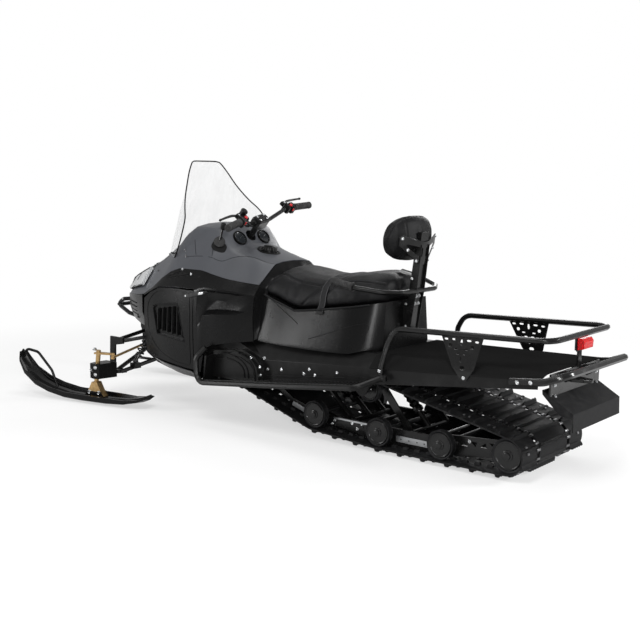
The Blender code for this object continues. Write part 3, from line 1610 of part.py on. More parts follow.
def make_gear_lever():
    """The drive selector, standing on an oval plate on the left of the hood."""
    x, line = 1.235, 4.86
    foot, out = Vector(body_point(x, line)), body_normal(x, line)
    stick_end = foot + Vector((-0.020, -0.006, 0.075))
    knob_end = foot + Vector((-0.028, -0.008, 0.105))
    knob_profile = ((0.0, 0.010), (0.3, 0.016), (0.8, 0.016), (1.0, 0.008))
    shapes = (
        rod(foot - out * 0.002, stick_end, 0.006, 8),
        lathe_between(stick_end - Vector((0, 0, 0.008)), knob_end, knob_profile, 12),
        lathe_between(foot - out * 0.012, foot + out * 0.005, ((0, 0.030), (1, 0.026)), 16),
    )
    object_from("gear_lever", standing_on_hood(merged(*shapes)), "moulded black")


def build():
    clear_scene()
    make_hood()
    make_nose_cowl()
    make_belly_pan()
    make_bulkhead()
    make_engine()
    make_tunnel()
    make_deck()
    make_track()
    make_wheels()
    make_slide_frame()
    make_seat_base()
    make_cushion()
    make_backrest()
    make_rack()
    make_taillight()
    make_rear_bumper()
    make_flap()
    make_windshield()
    make_headlamp()
    make_front_bumper()
    make_fuel_cap()
    make_gear_lever()
    make_handlebar()
    for side in SIGN:
        make_door(side)
        make_knee_panel(side)
        make_boards(side)
        make_arms(side)
        make_front_shock(side)
        make_knuckle(side)
        make_steered(side)


build()
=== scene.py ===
import math

import bmesh
import bpy
from mathutils import Matrix, Vector
from mathutils.bvhtree import BVHTree
from mathutils.kdtree import KDTree


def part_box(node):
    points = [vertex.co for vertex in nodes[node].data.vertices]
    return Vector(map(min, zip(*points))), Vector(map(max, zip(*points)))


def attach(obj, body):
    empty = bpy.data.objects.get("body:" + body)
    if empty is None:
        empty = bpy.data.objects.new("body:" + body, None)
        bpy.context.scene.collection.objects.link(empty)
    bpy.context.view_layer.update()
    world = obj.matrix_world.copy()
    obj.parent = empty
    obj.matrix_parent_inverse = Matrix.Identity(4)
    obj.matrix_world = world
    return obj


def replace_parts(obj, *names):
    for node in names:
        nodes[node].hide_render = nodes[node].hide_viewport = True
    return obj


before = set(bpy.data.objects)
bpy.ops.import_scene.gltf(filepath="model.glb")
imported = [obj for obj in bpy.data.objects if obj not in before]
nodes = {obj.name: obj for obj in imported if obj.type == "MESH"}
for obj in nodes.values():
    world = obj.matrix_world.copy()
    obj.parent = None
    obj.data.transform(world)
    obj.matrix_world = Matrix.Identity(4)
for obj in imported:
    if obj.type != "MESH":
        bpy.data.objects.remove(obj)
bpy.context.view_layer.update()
SIDES = {"left": 1.0, "right": -1.0}
BOTH = (1.0, -1.0)

# Stations count forward from the cargo rack's front bend, and the frame counts from its own zero.
STATION_ZERO = -0.854
TURN = math.radians(11.0)
COLUMN_LEAN = math.radians(41.0)
CASTER = math.radians(8.0)


def at(x, y, z):
    return Vector((x + STATION_ZERO, y, z))


# Finishes


class Value:
    """A number or colour that varies over a surface. Arithmetic on it adds the nodes."""

    def __init__(self, graph, socket):
        self.graph = graph
        self.socket = socket

    def math(self, operation, *others):
        inputs = dict(enumerate((self, *others)))
        return self.graph.node("Math", {"operation": operation}, inputs)

    def __add__(self, other):
        return self.math("ADD", other)

    def __mul__(self, other):
        return self.math("MULTIPLY", other)

    def __rsub__(self, other):
        return self.math("MULTIPLY_ADD", -1.0, other)

    __radd__ = __add__
    __rmul__ = __mul__

    def between(self, low, high):
        """0 below low, 1 above high, smooth in between."""
        settings = {"interpolation_type": "SMOOTHSTEP"}
        return self.graph.node("MapRange", settings, {0: self, 1: low, 2: high, 3: 0.0, 4: 1.0})


class Graph:
    """The nodes of a finish or of the surround."""

    def __init__(self, tree):
        self.tree = tree

    def node(self, kind, settings=None, sockets=None, output=0):
        made = self.tree.nodes.new("ShaderNode" + kind)
        for key, value in (settings or {}).items():
            setattr(made, key, value)
        for key, value in (sockets or {}).items():
            self.feed(made.inputs[key], value)
        return Value(self, made.outputs[output])

    def feed(self, socket, value):
        if isinstance(value, Value):
            self.tree.links.new(value.socket, socket)
        else:
            socket.default_value = value


# Bands of a wave texture in one metre, at a scale of 1.
BANDS_IN_A_METRE = 3.2


class Finish(Graph):
    """The material of one surface of the machine, from its shader's plain values up."""

    def __init__(self, name, **plain):
        self.material = bpy.data.materials.new(name)
        self.material.use_nodes = True
        super().__init__(self.material.node_tree)
        self.shader = self.tree.nodes["Principled BSDF"]
        for socket, value in plain.items():
            self.shader.inputs[socket.replace("_", " ")].default_value = value
        self.place = self.node("TexCoord", output=3)

    def stretched(self, x, y, z):
        return self.node("VectorMath", {"operation": "MULTIPLY"}, {0: self.place, 1: (x, y, z)})

    def mottle(self, size, detail=3.0, rough=0.55, place=None):
        """Soft noise whose patches are about this size in metres, from 0 to 1."""
        sockets = {
            "Vector": place or self.place,
            "Scale": 1.0 / size,
            "Detail": detail,
            "Roughness": rough,
        }
        return self.node("TexNoise", {}, sockets)

    def pebbles(self, size, feature="F1"):
        """Distance from the middle of small cells, for moulded grain and leather."""
        return self.node("TexVoronoi", {"feature": feature}, {"Vector": self.place, "Scale": 1.0 / size})

    def bands(self, size, axis):
        sockets = {"Vector": self.place, "Scale": 1.0 / size / BANDS_IN_A_METRE}
        return self.node("TexWave", {"bands_direction": axis}, sockets)

    def shade(self, dark, light, factor):
        """The colour between two colours."""
        return self.tinted((*dark, 1.0), light, factor)

    def tinted(self, colour, tint, factor):
        """A colour, drawn towards a tint by the factor."""
        sockets = {0: factor, 6: colour, 7: (*tint, 1.0)}
        return self.node("Mix", {"data_type": "RGBA"}, sockets, 2)

    def coloured(self, colour):
        self.feed(self.shader.inputs["Base Color"], colour)

    def roughened(self, middle, spread, factor):
        self.feed(self.shader.inputs["Roughness"], factor * (2 * spread) + (middle - spread))

    def raised(self, height, depth):
        """Relief this deep in metres, where the height goes from 0 to 1."""
        bump = self.node("Bump", {}, {"Strength": 1.0, "Distance": depth, "Height": height})
        self.feed(self.shader.inputs["Normal"], bump)
        return self


def moulded(name, dark, light, rough, grain=0.0011, depth=0.00007, gloss=0.10):
    """Moulded plastic: fine pebble grain, faint flow marks and rubbed patches."""
    finish = Finish(name, Specular_IOR_Level=gloss)
    cloud = finish.mottle(0.16, 4.0)
    fine = finish.pebbles(grain)
    rubbed = finish.mottle(0.035, 5.0, 0.7).between(0.58, 0.80)
    finish.coloured(finish.shade(dark, light, cloud * 0.6 + rubbed * 0.4))
    finish.roughened(rough, 0.07, cloud * 0.5 + rubbed * 0.5)
    return finish.raised(fine + finish.mottle(0.004, 2.0) * 0.4, depth)


def coated(name, dark, light, rough, gloss=0.16):
    """Powder coat on steel or aluminium: orange peel, and dust held in it."""
    finish = Finish(name, Specular_IOR_Level=gloss)
    peel = finish.mottle(0.0022, 2.0)
    dust = finish.mottle(0.07, 5.0, 0.65).between(0.45, 0.80)
    finish.coloured(finish.shade(dark, light, dust))
    finish.roughened(rough, 0.06, dust)
    return finish.raised(peel, 0.00008)


def hood_paint():
    """Dark grey moulded-in colour with a soft sheen."""
    finish = Finish("hood_grey", Specular_IOR_Level=0.18, Coat_Roughness=0.30)
    cloud = finish.mottle(0.35, 3.0)
    fleck = finish.mottle(0.0012, 2.0).between(0.45, 0.75)
    scuff = finish.mottle(0.025, 6.0, 0.75).between(0.66, 0.85)
    tone = finish.shade((0.047, 0.049, 0.055), (0.062, 0.065, 0.072), cloud * 0.7 + fleck * 0.3)
    finish.coloured(finish.tinted(tone, (0.095, 0.098, 0.105), scuff * 0.35))
    finish.roughened(0.40, 0.06, cloud * 0.6 + scuff * 0.4)
    finish.feed(finish.shader.inputs["Coat Weight"], fleck * 0.05 + 0.05)
    return finish.raised(finish.mottle(0.006, 2.0) + fleck * 0.3, 0.00006)


def seat_vinyl(name="vinyl", light=(0.0075, 0.0075, 0.0080)):
    """Black seat vinyl: leather grain of small flat cells with creases between them."""
    finish = Finish(name, Specular_IOR_Level=0.13)
    warp = finish.mottle(0.012, 2.0)
    grain = finish.pebbles(0.0030, feature="DISTANCE_TO_EDGE").between(0.02, 0.30)
    wear = finish.mottle(0.18, 4.0, 0.6).between(0.45, 0.75)
    finish.coloured(finish.shade((0.0028, 0.0028, 0.0031), light, grain * 0.5 + wear * 0.5))
    finish.roughened(0.40, 0.07, 1.0 - wear * 0.6)
    return finish.raised(grain + warp * 0.5, 0.00022)


def track_rubber():
    """Black rubber with cord lines and pale dust low in the tread."""
    finish = Finish("track_rubber", Specular_IOR_Level=0.12)
    cords = finish.bands(0.0045, "Y")
    dust = finish.mottle(0.03, 5.0, 0.7).between(0.40, 0.75)
    finish.coloured(finish.shade((0.005, 0.005, 0.0055), (0.016, 0.016, 0.016), dust))
    finish.roughened(0.68, 0.10, dust)
    return finish.raised(cords * 0.5 + finish.mottle(0.0025, 3.0), 0.00025)


def wheel_rubber():
    finish = Finish("wheel_rubber", Specular_IOR_Level=0.16)
    dust = finish.mottle(0.02, 4.0, 0.7).between(0.40, 0.80)
    finish.coloured(finish.shade((0.006, 0.006, 0.0065), (0.018, 0.018, 0.0185), dust))
    finish.roughened(0.52, 0.08, dust)
    return finish.raised(finish.mottle(0.0018, 3.0), 0.00012)


def gold_plate():
    """Yellow plated steel: grain from forging, darker where it is handled."""
    finish = Finish("gold", Metallic=0.85)
    stain = finish.mottle(0.02, 5.0, 0.6)
    finish.coloured(finish.shade((0.30, 0.185, 0.075), (0.47, 0.325, 0.15), stain.between(0.3, 0.7)))
    finish.roughened(0.36, 0.08, stain)
    return finish.raised(finish.mottle(0.0016, 3.0), 0.0001)


def bright_steel(name="bright_steel", light=(0.62, 0.63, 0.64), rough=0.27, grain=0.0004):
    finish = Finish(name, Metallic=1.0)
    lines = finish.mottle(grain, 3.0, 0.6, finish.stretched(0.12, 1.0, 1.0))
    finish.coloured(finish.shade(tuple(c * 0.72 for c in light), light, lines.between(0.25, 0.75)))
    finish.roughened(rough, 0.07, lines)
    return finish.raised(lines, 0.00002)


def cast_alloy():
    finish = Finish("cast", Metallic=0.55, Specular_IOR_Level=0.4)
    sand = finish.mottle(0.0016, 4.0, 0.7)
    grime = finish.mottle(0.04, 5.0, 0.6).between(0.4, 0.7)
    finish.coloured(finish.shade((0.075, 0.075, 0.08), (0.025, 0.025, 0.027), grime))
    finish.roughened(0.52, 0.08, grime)
    return finish.raised(sand, 0.00035)


def screen_plastic():
    """Clear polycarbonate: faint smoke, fine wiping marks, dust towards the foot."""
    finish = Finish("clear", Roughness=0.05, Specular_IOR_Level=0.5)
    smear = finish.mottle(0.05, 4.0, 0.6, finish.stretched(1.0, 1.0, 0.25))
    finish.coloured(finish.shade((0.34, 0.35, 0.36), (0.46, 0.47, 0.48), smear))
    finish.roughened(0.07, 0.03, smear)
    finish.feed(finish.shader.inputs["Alpha"], smear.between(0.35, 0.75) * 0.05 + 0.07)
    return finish.raised(smear, 0.00005)


def lamp_glass():
    """Head lamp: bright fluted reflector under a clear, glossy cover."""
    finish = Finish("lamp_white", Coat_Weight=1.0, Coat_Roughness=0.04, Metallic=0.35)
    flutes = finish.bands(0.011, "Y")
    patch = finish.mottle(0.06, 1.0)
    pale = finish.shade((0.30, 0.31, 0.32), (0.78, 0.79, 0.80), flutes * 0.6 + patch * 0.4)
    finish.coloured(pale)
    finish.roughened(0.22, 0.08, flutes)
    return finish.raised(flutes, 0.0005)


def lamp_red():
    finish = Finish("lamp_red", Coat_Weight=0.12, Coat_Roughness=0.05, Specular_IOR_Level=0.15)
    prisms = finish.pebbles(0.006, feature="F1")
    finish.coloured(finish.shade((0.72, 0.008, 0.010), (0.34, 0.003, 0.004), prisms.between(0.1, 0.7)))
    finish.roughened(0.25, 0.08, prisms)
    return finish.raised(1.0 - prisms, 0.0006)


def ribbed_grip():
    """Soft grip rubber: a cross-hatched pattern and skin oil on the high spots."""
    finish = Finish("grip_rubber", Specular_IOR_Level=0.30)
    hatch = finish.pebbles(0.0024, feature="F1")
    oil = finish.mottle(0.02, 3.0).between(0.4, 0.7)
    finish.coloured(finish.shade((0.010, 0.010, 0.010), (0.022, 0.022, 0.022), oil))
    finish.roughened(0.60, 0.10, 1.0 - oil)
    return finish.raised(hatch, 0.0004)


def coloured_plastic(name, colour, rough=0.35):
    finish = Finish(name, Specular_IOR_Level=0.45)
    cloud = finish.mottle(0.01, 3.0)
    finish.coloured(finish.shade(tuple(c * 0.75 for c in colour), colour, cloud))
    finish.roughened(rough, 0.06, cloud)
    return finish.raised(finish.mottle(0.0012, 2.0), 0.00005)


def webbing():
    """Woven nylon strap: ribs across it and a finer rib along it."""
    finish = Finish("strap_webbing", Specular_IOR_Level=0.15)
    weave = finish.bands(0.0016, "Y") + finish.bands(0.0022, "Z") * 0.7 + finish.bands(0.0022, "X") * 0.7
    finish.coloured(finish.shade((0.004, 0.004, 0.0045), (0.013, 0.013, 0.0135), weave * 0.4))
    finish.roughened(0.62, 0.08, weave * 0.4)
    return finish.raised(weave, 0.0003)


def grey(level):
    return (level, level, level)


FINISHES = {
    "hood grey": (hood_paint(), "hood_grey"),
    "moulded black": (
        moulded("moulded_black", grey(0.0030), (0.0060, 0.0060, 0.0063), 0.30, gloss=0.12),
        "moulded_black",
    ),
    "deck black": (moulded("deck_black", grey(0.0085), grey(0.0130), 0.62, gloss=0.0), "moulded_black"),
    "tunnel coat": (coated("tunnel_coat", grey(0.0045), grey(0.0090), 0.38), "satin_black"),
    "satin black": (coated("satin_black", grey(0.0040), grey(0.0080), 0.27, gloss=0.30), "satin_black"),
    "vinyl": (seat_vinyl(), "vinyl"),
    # The piping is the seat vinyl drawn lighter: painted highlight along the seams.
    "piping": (seat_vinyl("piping_vinyl_highlight", (0.022, 0.022, 0.023)), "vinyl"),
    "thread": (coloured_plastic("thread_grey", (0.055, 0.055, 0.058), 0.6), "vinyl"),
    "track rubber": (track_rubber(), "track_rubber"),
    "wheel rubber": (wheel_rubber(), "wheel_rubber"),
    "gold": (gold_plate(), "gold"),
    "clear": (screen_plastic(), "clear"),
    "lamp white": (lamp_glass(), "lamp_white"),
    "lamp red": (lamp_red(), "lamp_red"),
    "cast": (cast_alloy(), "cast"),
    "bright steel": (bright_steel(), "cast"),
    "rail alloy": (bright_steel("rail_alloy", (0.48, 0.49, 0.50), 0.36, 0.0009), "cast"),
    "dull clips": (bright_steel("dull_clips", (0.20, 0.20, 0.205), 0.40, 0.0007), "cast"),
    "grip": (ribbed_grip(), "track_rubber"),
    "webbing": (webbing(), "vinyl"),
    # Near-black, darker than moulded black: real black rubber and trim, and also painted shade in creases,
    # slots, holes, gaps and the intakes.
    "deep black": (
        moulded("deep_black", grey(0.0022), grey(0.0045), 0.55, 0.0016, 0.0001),
        "moulded_black",
    ),
    "switch red": (coloured_plastic("switch_red", (0.50, 0.014, 0.018)), "lamp_red"),
    "spring black": (coated("spring_black", grey(0.010), grey(0.018), 0.28), "satin_black"),
    "dial face": (coloured_plastic("dial_face", (0.016, 0.018, 0.020), 0.12), "moulded_black"),
    "trim grey": (moulded("trim_grey", grey(0.010), grey(0.016), 0.34, gloss=0.25), "moulded_black"),
}

# What each carried-over node is made of.
NODE_FINISH = {
    "hood grey": "hood",
    "moulded black": "nose_cowl belly_pan seat_base side_panel_left side_panel_right knee_panel_left "
    "knee_panel_right fuel_cap gear_lever ski_left ski_right knuckle_left knuckle_right",
    "deck black": "cargo_deck",
    "tunnel coat": "tunnel running_board_left running_board_right bulkhead",
    "satin black": "backrest_frame cargo_rack drive_shaft front_bumper handlebar lower_arm_left "
    "lower_arm_right upper_arm_left upper_arm_right rear_bumper slide_frame",
    "track rubber": "track snow_flap",
    "wheel rubber": "bogie_wheels_front bogie_wheels_middle bogie_wheels_rear carrier_wheels "
    "rear_idler_wheels",
    "gold": "spindle_left spindle_right tie_rod_left tie_rod_right",
    "lamp white": "headlamp",
    "lamp red": "taillight",
    "cast": "engine_block",
}

# Nodes left without rounded edges: thin sheets, and what has soft edges or is replaced.
THIN = ("track", "headlamp", "hood", "nose_cowl", "belly_pan")
# An edge sharper than this angle is rounded by this much. Folded sheets keep slighter folds crisp too.
ROUNDING, EDGE_ANGLE, FOLD_ANGLE = 0.0012, 32.0, 16.0
FOLDED = ("cargo_deck", "snow_flap", "tunnel")


def dress_nodes():
    for finish, names in NODE_FINISH.items():
        for name in names.split():
            finished(nodes[name], finish)
            rounding = 0.0 if name in THIN else ROUNDING
            smooth(nodes[name], rounding, FOLD_ANGLE if name in FOLDED else EDGE_ANGLE)


def finished(obj, finish):
    """Gives the object this finish in place of what it had."""
    obj.data.materials.clear()
    obj.data.materials.append(FINISHES[finish][0].material)


def smooth(obj, rounding, angle):
    """Rounded edges and even shading, as modifiers, so that the mesh itself stays."""
    for face in obj.data.polygons:
        face.use_smooth = True
    weld = obj.modifiers.new("weld", "WELD")
    weld.merge_threshold = 0.00002
    if rounding:
        bevel = obj.modifiers.new("rounding", "BEVEL")
        bevel.width = rounding
        bevel.segments = 2
        bevel.limit_method = "ANGLE"
        bevel.angle_limit = math.radians(angle)
        bevel.use_clamp_overlap = True
    split = obj.modifiers.new("edges", "EDGE_SPLIT")
    split.split_angle = math.radians(angle)
    even = obj.modifiers.new("even", "WEIGHTED_NORMAL")
    even.keep_sharp = True


# Tools of the bench


class Skin:
    """The outside of some nodes or pieces, to set other pieces down on."""

    def __init__(self, *names):
        points, faces = [], []
        for name in names:
            mesh = (nodes.get(name) or bpy.data.objects[name]).data
            first = len(points)
            points += [v.co.copy() for v in mesh.vertices]
            faces += [[first + i for i in face.vertices] for face in mesh.polygons]
        self.tree = BVHTree.FromPolygons(points, faces)

    def ray(self, start, heading):
        """Where a ray lands and the way the skin faces there, towards where the ray came from."""
        point, normal, _, _ = self.tree.ray_cast(start, heading)
        if point is None:
            return None
        return point, normal if normal.dot(heading) < 0 else -normal

    def beside(self, x, z, side):
        return self.ray(at(x, 1.2 * side, z), Vector((0, -side, 0)))

    def over(self, x, y):
        return self.ray(at(x, y, 2.0), Vector((0, 0, -1)))

    def nearest(self, place):
        point, normal, _, _ = self.tree.find_nearest(place)
        return point, normal


def landings(cast, places):
    """Where the places land on a skin, without those that miss it."""
    found = [cast(*place) for place in places]
    return [landed for landed in found if landed]


def piece(name, shape, finish, body="chassis", rounding=0.0, angle=EDGE_ANGLE):
    """Makes a piece of a shape, in its finish, riding on a body."""
    mesh = bpy.data.meshes.new(name)
    bmesh.ops.recalc_face_normals(shape, faces=shape.faces)
    shape.to_mesh(mesh)
    shape.free()
    made = bpy.data.objects.new(name, mesh)
    bpy.context.scene.collection.objects.link(made)
    finished(made, finish)
    smooth(made, rounding, angle)
    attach(made, body)
    return made


def moved(shape, matrix):
    bmesh.ops.transform(shape, verts=shape.verts, matrix=matrix)
    return shape


def joined(*shapes):
    """All the shapes as one."""
    whole = bmesh.new()
    for shape in shapes:
        mesh = bpy.data.meshes.new("part")
        shape.to_mesh(mesh)
        whole.from_mesh(mesh)
        bpy.data.meshes.remove(mesh)
        shape.free()
    return whole


def on_side(points, sign):
    """The points of a line on one side of the machine, given for its left."""
    return [(x, y * sign, z) for x, y, z in points]


def loft(rings, round_again=False):
    """A skin over rings of points, closed with its end rings or joined end to end."""
    shape = bmesh.new()
    made = [[shape.verts.new(point) for point in ring] for ring in rings]
    pairs = list(zip(made, made[1:]))
    if round_again:
        pairs.append((made[-1], made[0]))
    for one, other in pairs:
        count = len(one)
        for k in range(count):
            after = (k + 1) % count
            shape.faces.new((one[k], one[after], other[after], other[k]))
    if not round_again:
        shape.faces.new(list(reversed(made[0])))
        shape.faces.new(made[-1])
    return shape


def flowing(points, steps=6, closed=False):
    """A smooth curve through the points."""
    points = [Vector(p) for p in points]
    count = len(points)
    path = []
    for i in range(count if closed else count - 1):
        if closed:
            a, b, c, d = (points[(i + k) % count] for k in (-1, 0, 1, 2))
        else:
            a, b, c, d = (points[min(max(i + k, 0), count - 1)] for k in (-1, 0, 1, 2))
        for step in range(steps):
            t = step / steps
            path.append(
                b
                + (c - a) * (0.5 * t)
                + (2 * a - 5 * b + 4 * c - d) * (0.5 * t * t)
                + (3 * b - a - 3 * c + d) * (0.5 * t * t * t)
            )
    if not closed:
        path.append(points[-1])
    return path


def swept(path, outline, up=Vector((0, 0, 1)), closed=False, scale=None):
    """An outline of (across, up) carried along a path. `up` is one direction or one per point."""
    rings = []
    count = len(path)
    for i, point in enumerate(path):
        before = path[i - 1] if closed or i else path[0]
        after = path[(i + 1) % count] if closed or i < count - 1 else path[-1]
        along = (after - before).normalized()
        raised = up[i] if isinstance(up, list) else up
        across = along.cross(raised)
        if across.length < 1e-4:
            across = along.orthogonal()
        across.normalize()
        high = across.cross(along)
        grow = scale[i] if scale else 1.0
        rings.append([point + across * (a * grow) + high * (h * grow) for a, h in outline])
    return loft(rings, closed)


def curved(pairs, steps, closed=False):
    """A smooth curve through pairs of numbers."""
    return [(p.x, p.y) for p in flowing([(a, b, 0) for a, b in pairs], steps, closed)]


def laid(found, outline, closed=False, scale=None):
    """An outline carried along landings, upright on the skin."""
    return swept([p for p, _ in found], outline, [n for _, n in found], closed, scale)


def bead(half, top, height, foot=0.001):
    """The outline of a bead: half its width below and on top, its height, and how deep it is set in."""
    return ((-half, -foot), (half, -foot), (top, height), (-top, height))


def circle(radius, sides):
    turns = (2 * math.pi * k / sides for k in range(sides))
    return [(radius * math.cos(turn), radius * math.sin(turn)) for turn in turns]


def tube(path, radius, sides=10, closed=False, scale=None, up=Vector((0, 0, 1))):
    return swept(path, circle(radius, sides), up, closed, scale)


def turned(profile, start, heading, sides=20):
    """A profile of (along, radius) turned about a line from the start."""
    heading = Vector(heading).normalized()
    across = heading.orthogonal().normalized()
    other = heading.cross(across)
    rings = []
    for along, radius in profile:
        middle = Vector(start) + heading * along
        rings.append([middle + (across * a + other * b) for a, b in circle(max(radius, 1e-5), sides)])
    return loft(rings)


def plate(outline, out, thickness):
    """A flat plate: its outline of points, pushed along a direction."""
    out = Vector(out)
    return loft([[Vector(p) for p in outline], [Vector(p) + out * thickness for p in outline]])


def squared(turn, soft):
    """A point of a rounded square: a circle for soft = 1, and squarer for less."""
    c, s = math.cos(turn), math.sin(turn)
    return math.copysign(abs(c) ** soft, c), math.copysign(abs(s) ** soft, s)


def oblong(middle, across, along, out, half_width, half_length, height, soft=0.3, sides=20):
    """A rounded block that stands out from its middle."""
    across, along, out = (Vector(v).normalized() for v in (across, along, out))
    rings = []
    for rise, inset in ((0.0, 0.0), (0.62, 0.0), (0.88, 0.10), (1.0, 0.30)):
        ring = []
        narrower = inset * min(half_width, height)
        for k in range(sides):
            x, y = squared(2 * math.pi * k / sides, soft)
            reach = across * (x * (half_width - narrower)) + along * (y * (half_length - narrower))
            ring.append(Vector(middle) + reach + out * (rise * height))
        rings.append(ring)
    return loft(rings)


def bolt(point, out, radius):
    """A washer under a flanged hex head with a dished top."""
    out = Vector(out).normalized()
    under = ((-0.002, radius * 1.55), (0.0008, radius * 1.55), (0.0014, radius * 1.3))
    washer = turned(under, point, out, 16)
    across = out.orthogonal().normalized()
    other = out.cross(across)
    rings = []
    for rise, wide in ((0.0012, 1.0), (radius * 0.95, 1.0), (radius * 1.15, 0.86), (radius * 1.0, 0.5)):
        ring = []
        for k in range(12):
            turn = math.pi * k / 6
            way = across * math.cos(turn) + other * math.sin(turn)
            reach = radius * wide * (1.0 if k % 2 else 0.93)
            ring.append(Vector(point) + out * rise + way * reach)
        rings.append(ring)
    return joined(washer, loft(rings))


def bolts(name, places, radius, body="chassis", finish="bright steel"):
    shapes = [bolt(point, out, radius) for point, out in places]
    return piece(name, joined(*shapes), finish, body)


# How deep a seam's bead is set into its skin.
SEAM_SINK = 0.0005


def seam(skin, points, width, height, steps):
    """A bead that follows a skin along the points."""
    path, out = [], []
    for p in flowing([at(*q) for q in points], steps):
        point, normal = skin.nearest(p)
        if normal.dot(p - point) < 0 and (p - point).length > 0.003:
            normal = -normal
        path.append(point - normal * SEAM_SINK)
        out.append(normal)
    half = width / 2
    return swept(path, bead(half, half * 0.7, height + SEAM_SINK, foot=0.0), out)


dress_nodes()
hood_skin = Skin("hood")
side_skin = Skin("tunnel", "running_board_left", "running_board_right", "cargo_deck")
body_skin = Skin("hood", "knee_panel_left", "knee_panel_right", "nose_cowl")


# Seat and backrest


def shrunk(name, node, inset):
    """A copy of a node's solid, drawn in along its own normals."""
    shape = bmesh.new()
    shape.from_mesh(nodes[node].data)
    bmesh.ops.remove_doubles(shape, verts=shape.verts, dist=0.00005)
    bmesh.ops.recalc_face_normals(shape, faces=shape.faces)
    shape.normal_update()
    for vertex in shape.verts:
        vertex.co -= vertex.normal * inset
    mesh = bpy.data.meshes.new(name)
    shape.to_mesh(mesh)
    shape.free()
    made = bpy.data.objects.new(name, mesh)
    bpy.context.scene.collection.objects.link(made)
    return made


def blown_up(obj):
    """Fills the cover with air, as cloth, and keeps the shape it takes."""
    cloth = obj.modifiers.new("air", "CLOTH")
    cloth.settings.use_pressure = True
    cloth.settings.uniform_pressure_force = 3.0
    cloth.settings.effector_weights.gravity = 0.0
    cloth.settings.quality = 4
    cloth.settings.tension_stiffness = 12.0
    cloth.settings.compression_stiffness = 12.0
    scene = bpy.context.scene
    for step in range(1, 17):
        scene.frame_set(step)
    bake(obj)
    scene.frame_set(1)


def evened(obj, iterations):
    even = obj.modifiers.new("even", "SMOOTH")
    even.factor = 0.5
    even.iterations = iterations


def padding(name, node, voxel, swell):
    """A cushion grown from its solid: remeshed, blown up as cloth, held to a limit, smoothed."""
    made = shrunk(name, node, swell * 0.45)
    remesh = made.modifiers.new("remesh", "REMESH")
    remesh.mode = "VOXEL"
    remesh.voxel_size = voxel
    evened(made, 10)
    bake(made)
    start = [v.co.copy() for v in made.data.vertices]
    blown_up(made)
    for vertex, from_point in zip(made.data.vertices, start):
        shift = vertex.co - from_point
        if shift.length > swell:
            vertex.co = from_point + shift * (swell / shift.length)
    evened(made, 4)
    finer = made.modifiers.new("finer", "SUBSURF")
    finer.levels = finer.render_levels = 1
    bake(made)
    for face in made.data.polygons:
        face.use_smooth = True
    return made


def bake(obj):
    """Applies the object's modifiers."""
    graph = bpy.context.evaluated_depsgraph_get()
    mesh = bpy.data.meshes.new_from_object(obj.evaluated_get(graph))
    old = obj.data
    obj.modifiers.clear()
    obj.data = mesh
    bpy.data.meshes.remove(old)


def stitched(obj, lines, width, depth):
    """Presses a groove into the cushion along each line."""
    path = [p for line in lines for p in line]
    tree = KDTree(len(path))
    for i, p in enumerate(path):
        tree.insert(p, i)
    tree.balance()
    for vertex in obj.data.vertices:
        _, _, away = tree.find(vertex.co)
        if away < width:
            t = away / width
            vertex.co -= vertex.normal * (depth * (1 - t) ** 2 * (1 + 2 * t))


def piped(skin, line, lift, radius, closed=False):
    """Piping along a line, set into the cover."""
    found = [skin.nearest(p) for p in line]
    return tube([p + n * lift for p, n in found][::2], radius, 8, closed)


def level(x, table):
    """The value of a table of (station, value) at a station, read along straight lines."""
    table = sorted(table)
    if x <= table[0][0]:
        return table[0][1]
    for (x0, v0), (x1, v1) in zip(table, table[1:]):
        if x <= x1:
            return v0 + (v1 - v0) * (x - x0) / (x1 - x0)
    return table[-1][1]


# The cushion's lower edge: station, height. The cover ends this far over it.
SEAT_RIM = (
    (0.900, 0.690), (0.820, 0.662), (0.685, 0.622), (0.560, 0.637),
    (0.440, 0.654), (0.320, 0.672), (0.250, 0.684), (0.190, 0.695),
)
RIM_GAP = 0.0012
# The seam along the seat's shoulder: station, distance out, height.
SHOULDER = (
    (0.893, 0.110, 0.770), (0.860, 0.145, 0.775), (0.820, 0.165, 0.778), (0.740, 0.190, 0.768),
    (0.640, 0.202, 0.762), (0.540, 0.205, 0.764), (0.440, 0.205, 0.776), (0.340, 0.198, 0.790),
    (0.260, 0.182, 0.792), (0.205, 0.150, 0.786),
)
FRONT_SEAM = [(0.845, y, 0.82 - 0.5 * y * y) for y in (-0.150, -0.08, 0.0, 0.08, 0.150)]
# The seam over the step between the driver's seat and the passenger's, from the left to the middle.
HALF_STEP = ((0.452, 0.200, 0.776), (0.432, 0.150, 0.800), (0.418, 0.075, 0.812))
STEP_SEAM = [*HALF_STEP, (0.414, 0.0, 0.815), *on_side(reversed(HALF_STEP), -1.0)]
SIDE_SEAMS = (
    ((0.655, 0.262, 0.632), (0.620, 0.262, 0.680), (0.580, 0.250, 0.725), (0.535, 0.215, 0.762)),
    ((0.500, 0.258, 0.735), (0.470, 0.235, 0.762), (0.448, 0.205, 0.778)),
)
# Creases pressed into the seat base, drawn as near-black lines of painted shade: the front fold, and the
# three-cornered recess behind the strap.
BASE_CREASES = (
    (
        (0.849, 0.251, 0.668), (0.800, 0.255, 0.640), (0.742, 0.258, 0.607),
        (0.690, 0.264, 0.581), (0.644, 0.272, 0.558),
    ),
    (
        (0.563, 0.291, 0.495), (0.464, 0.283, 0.529), (0.353, 0.271, 0.569), (0.270, 0.247, 0.593),
        (0.240, 0.233, 0.585), (0.247, 0.246, 0.544), (0.258, 0.261, 0.497),
    ),
)
GROOVE_WIDTH, GROOVE_DEPTH = 0.011, 0.0042
STITCH_RISE, STITCH_RADIUS = 0.007, 0.0009
WELT_RADIUS = 0.0052


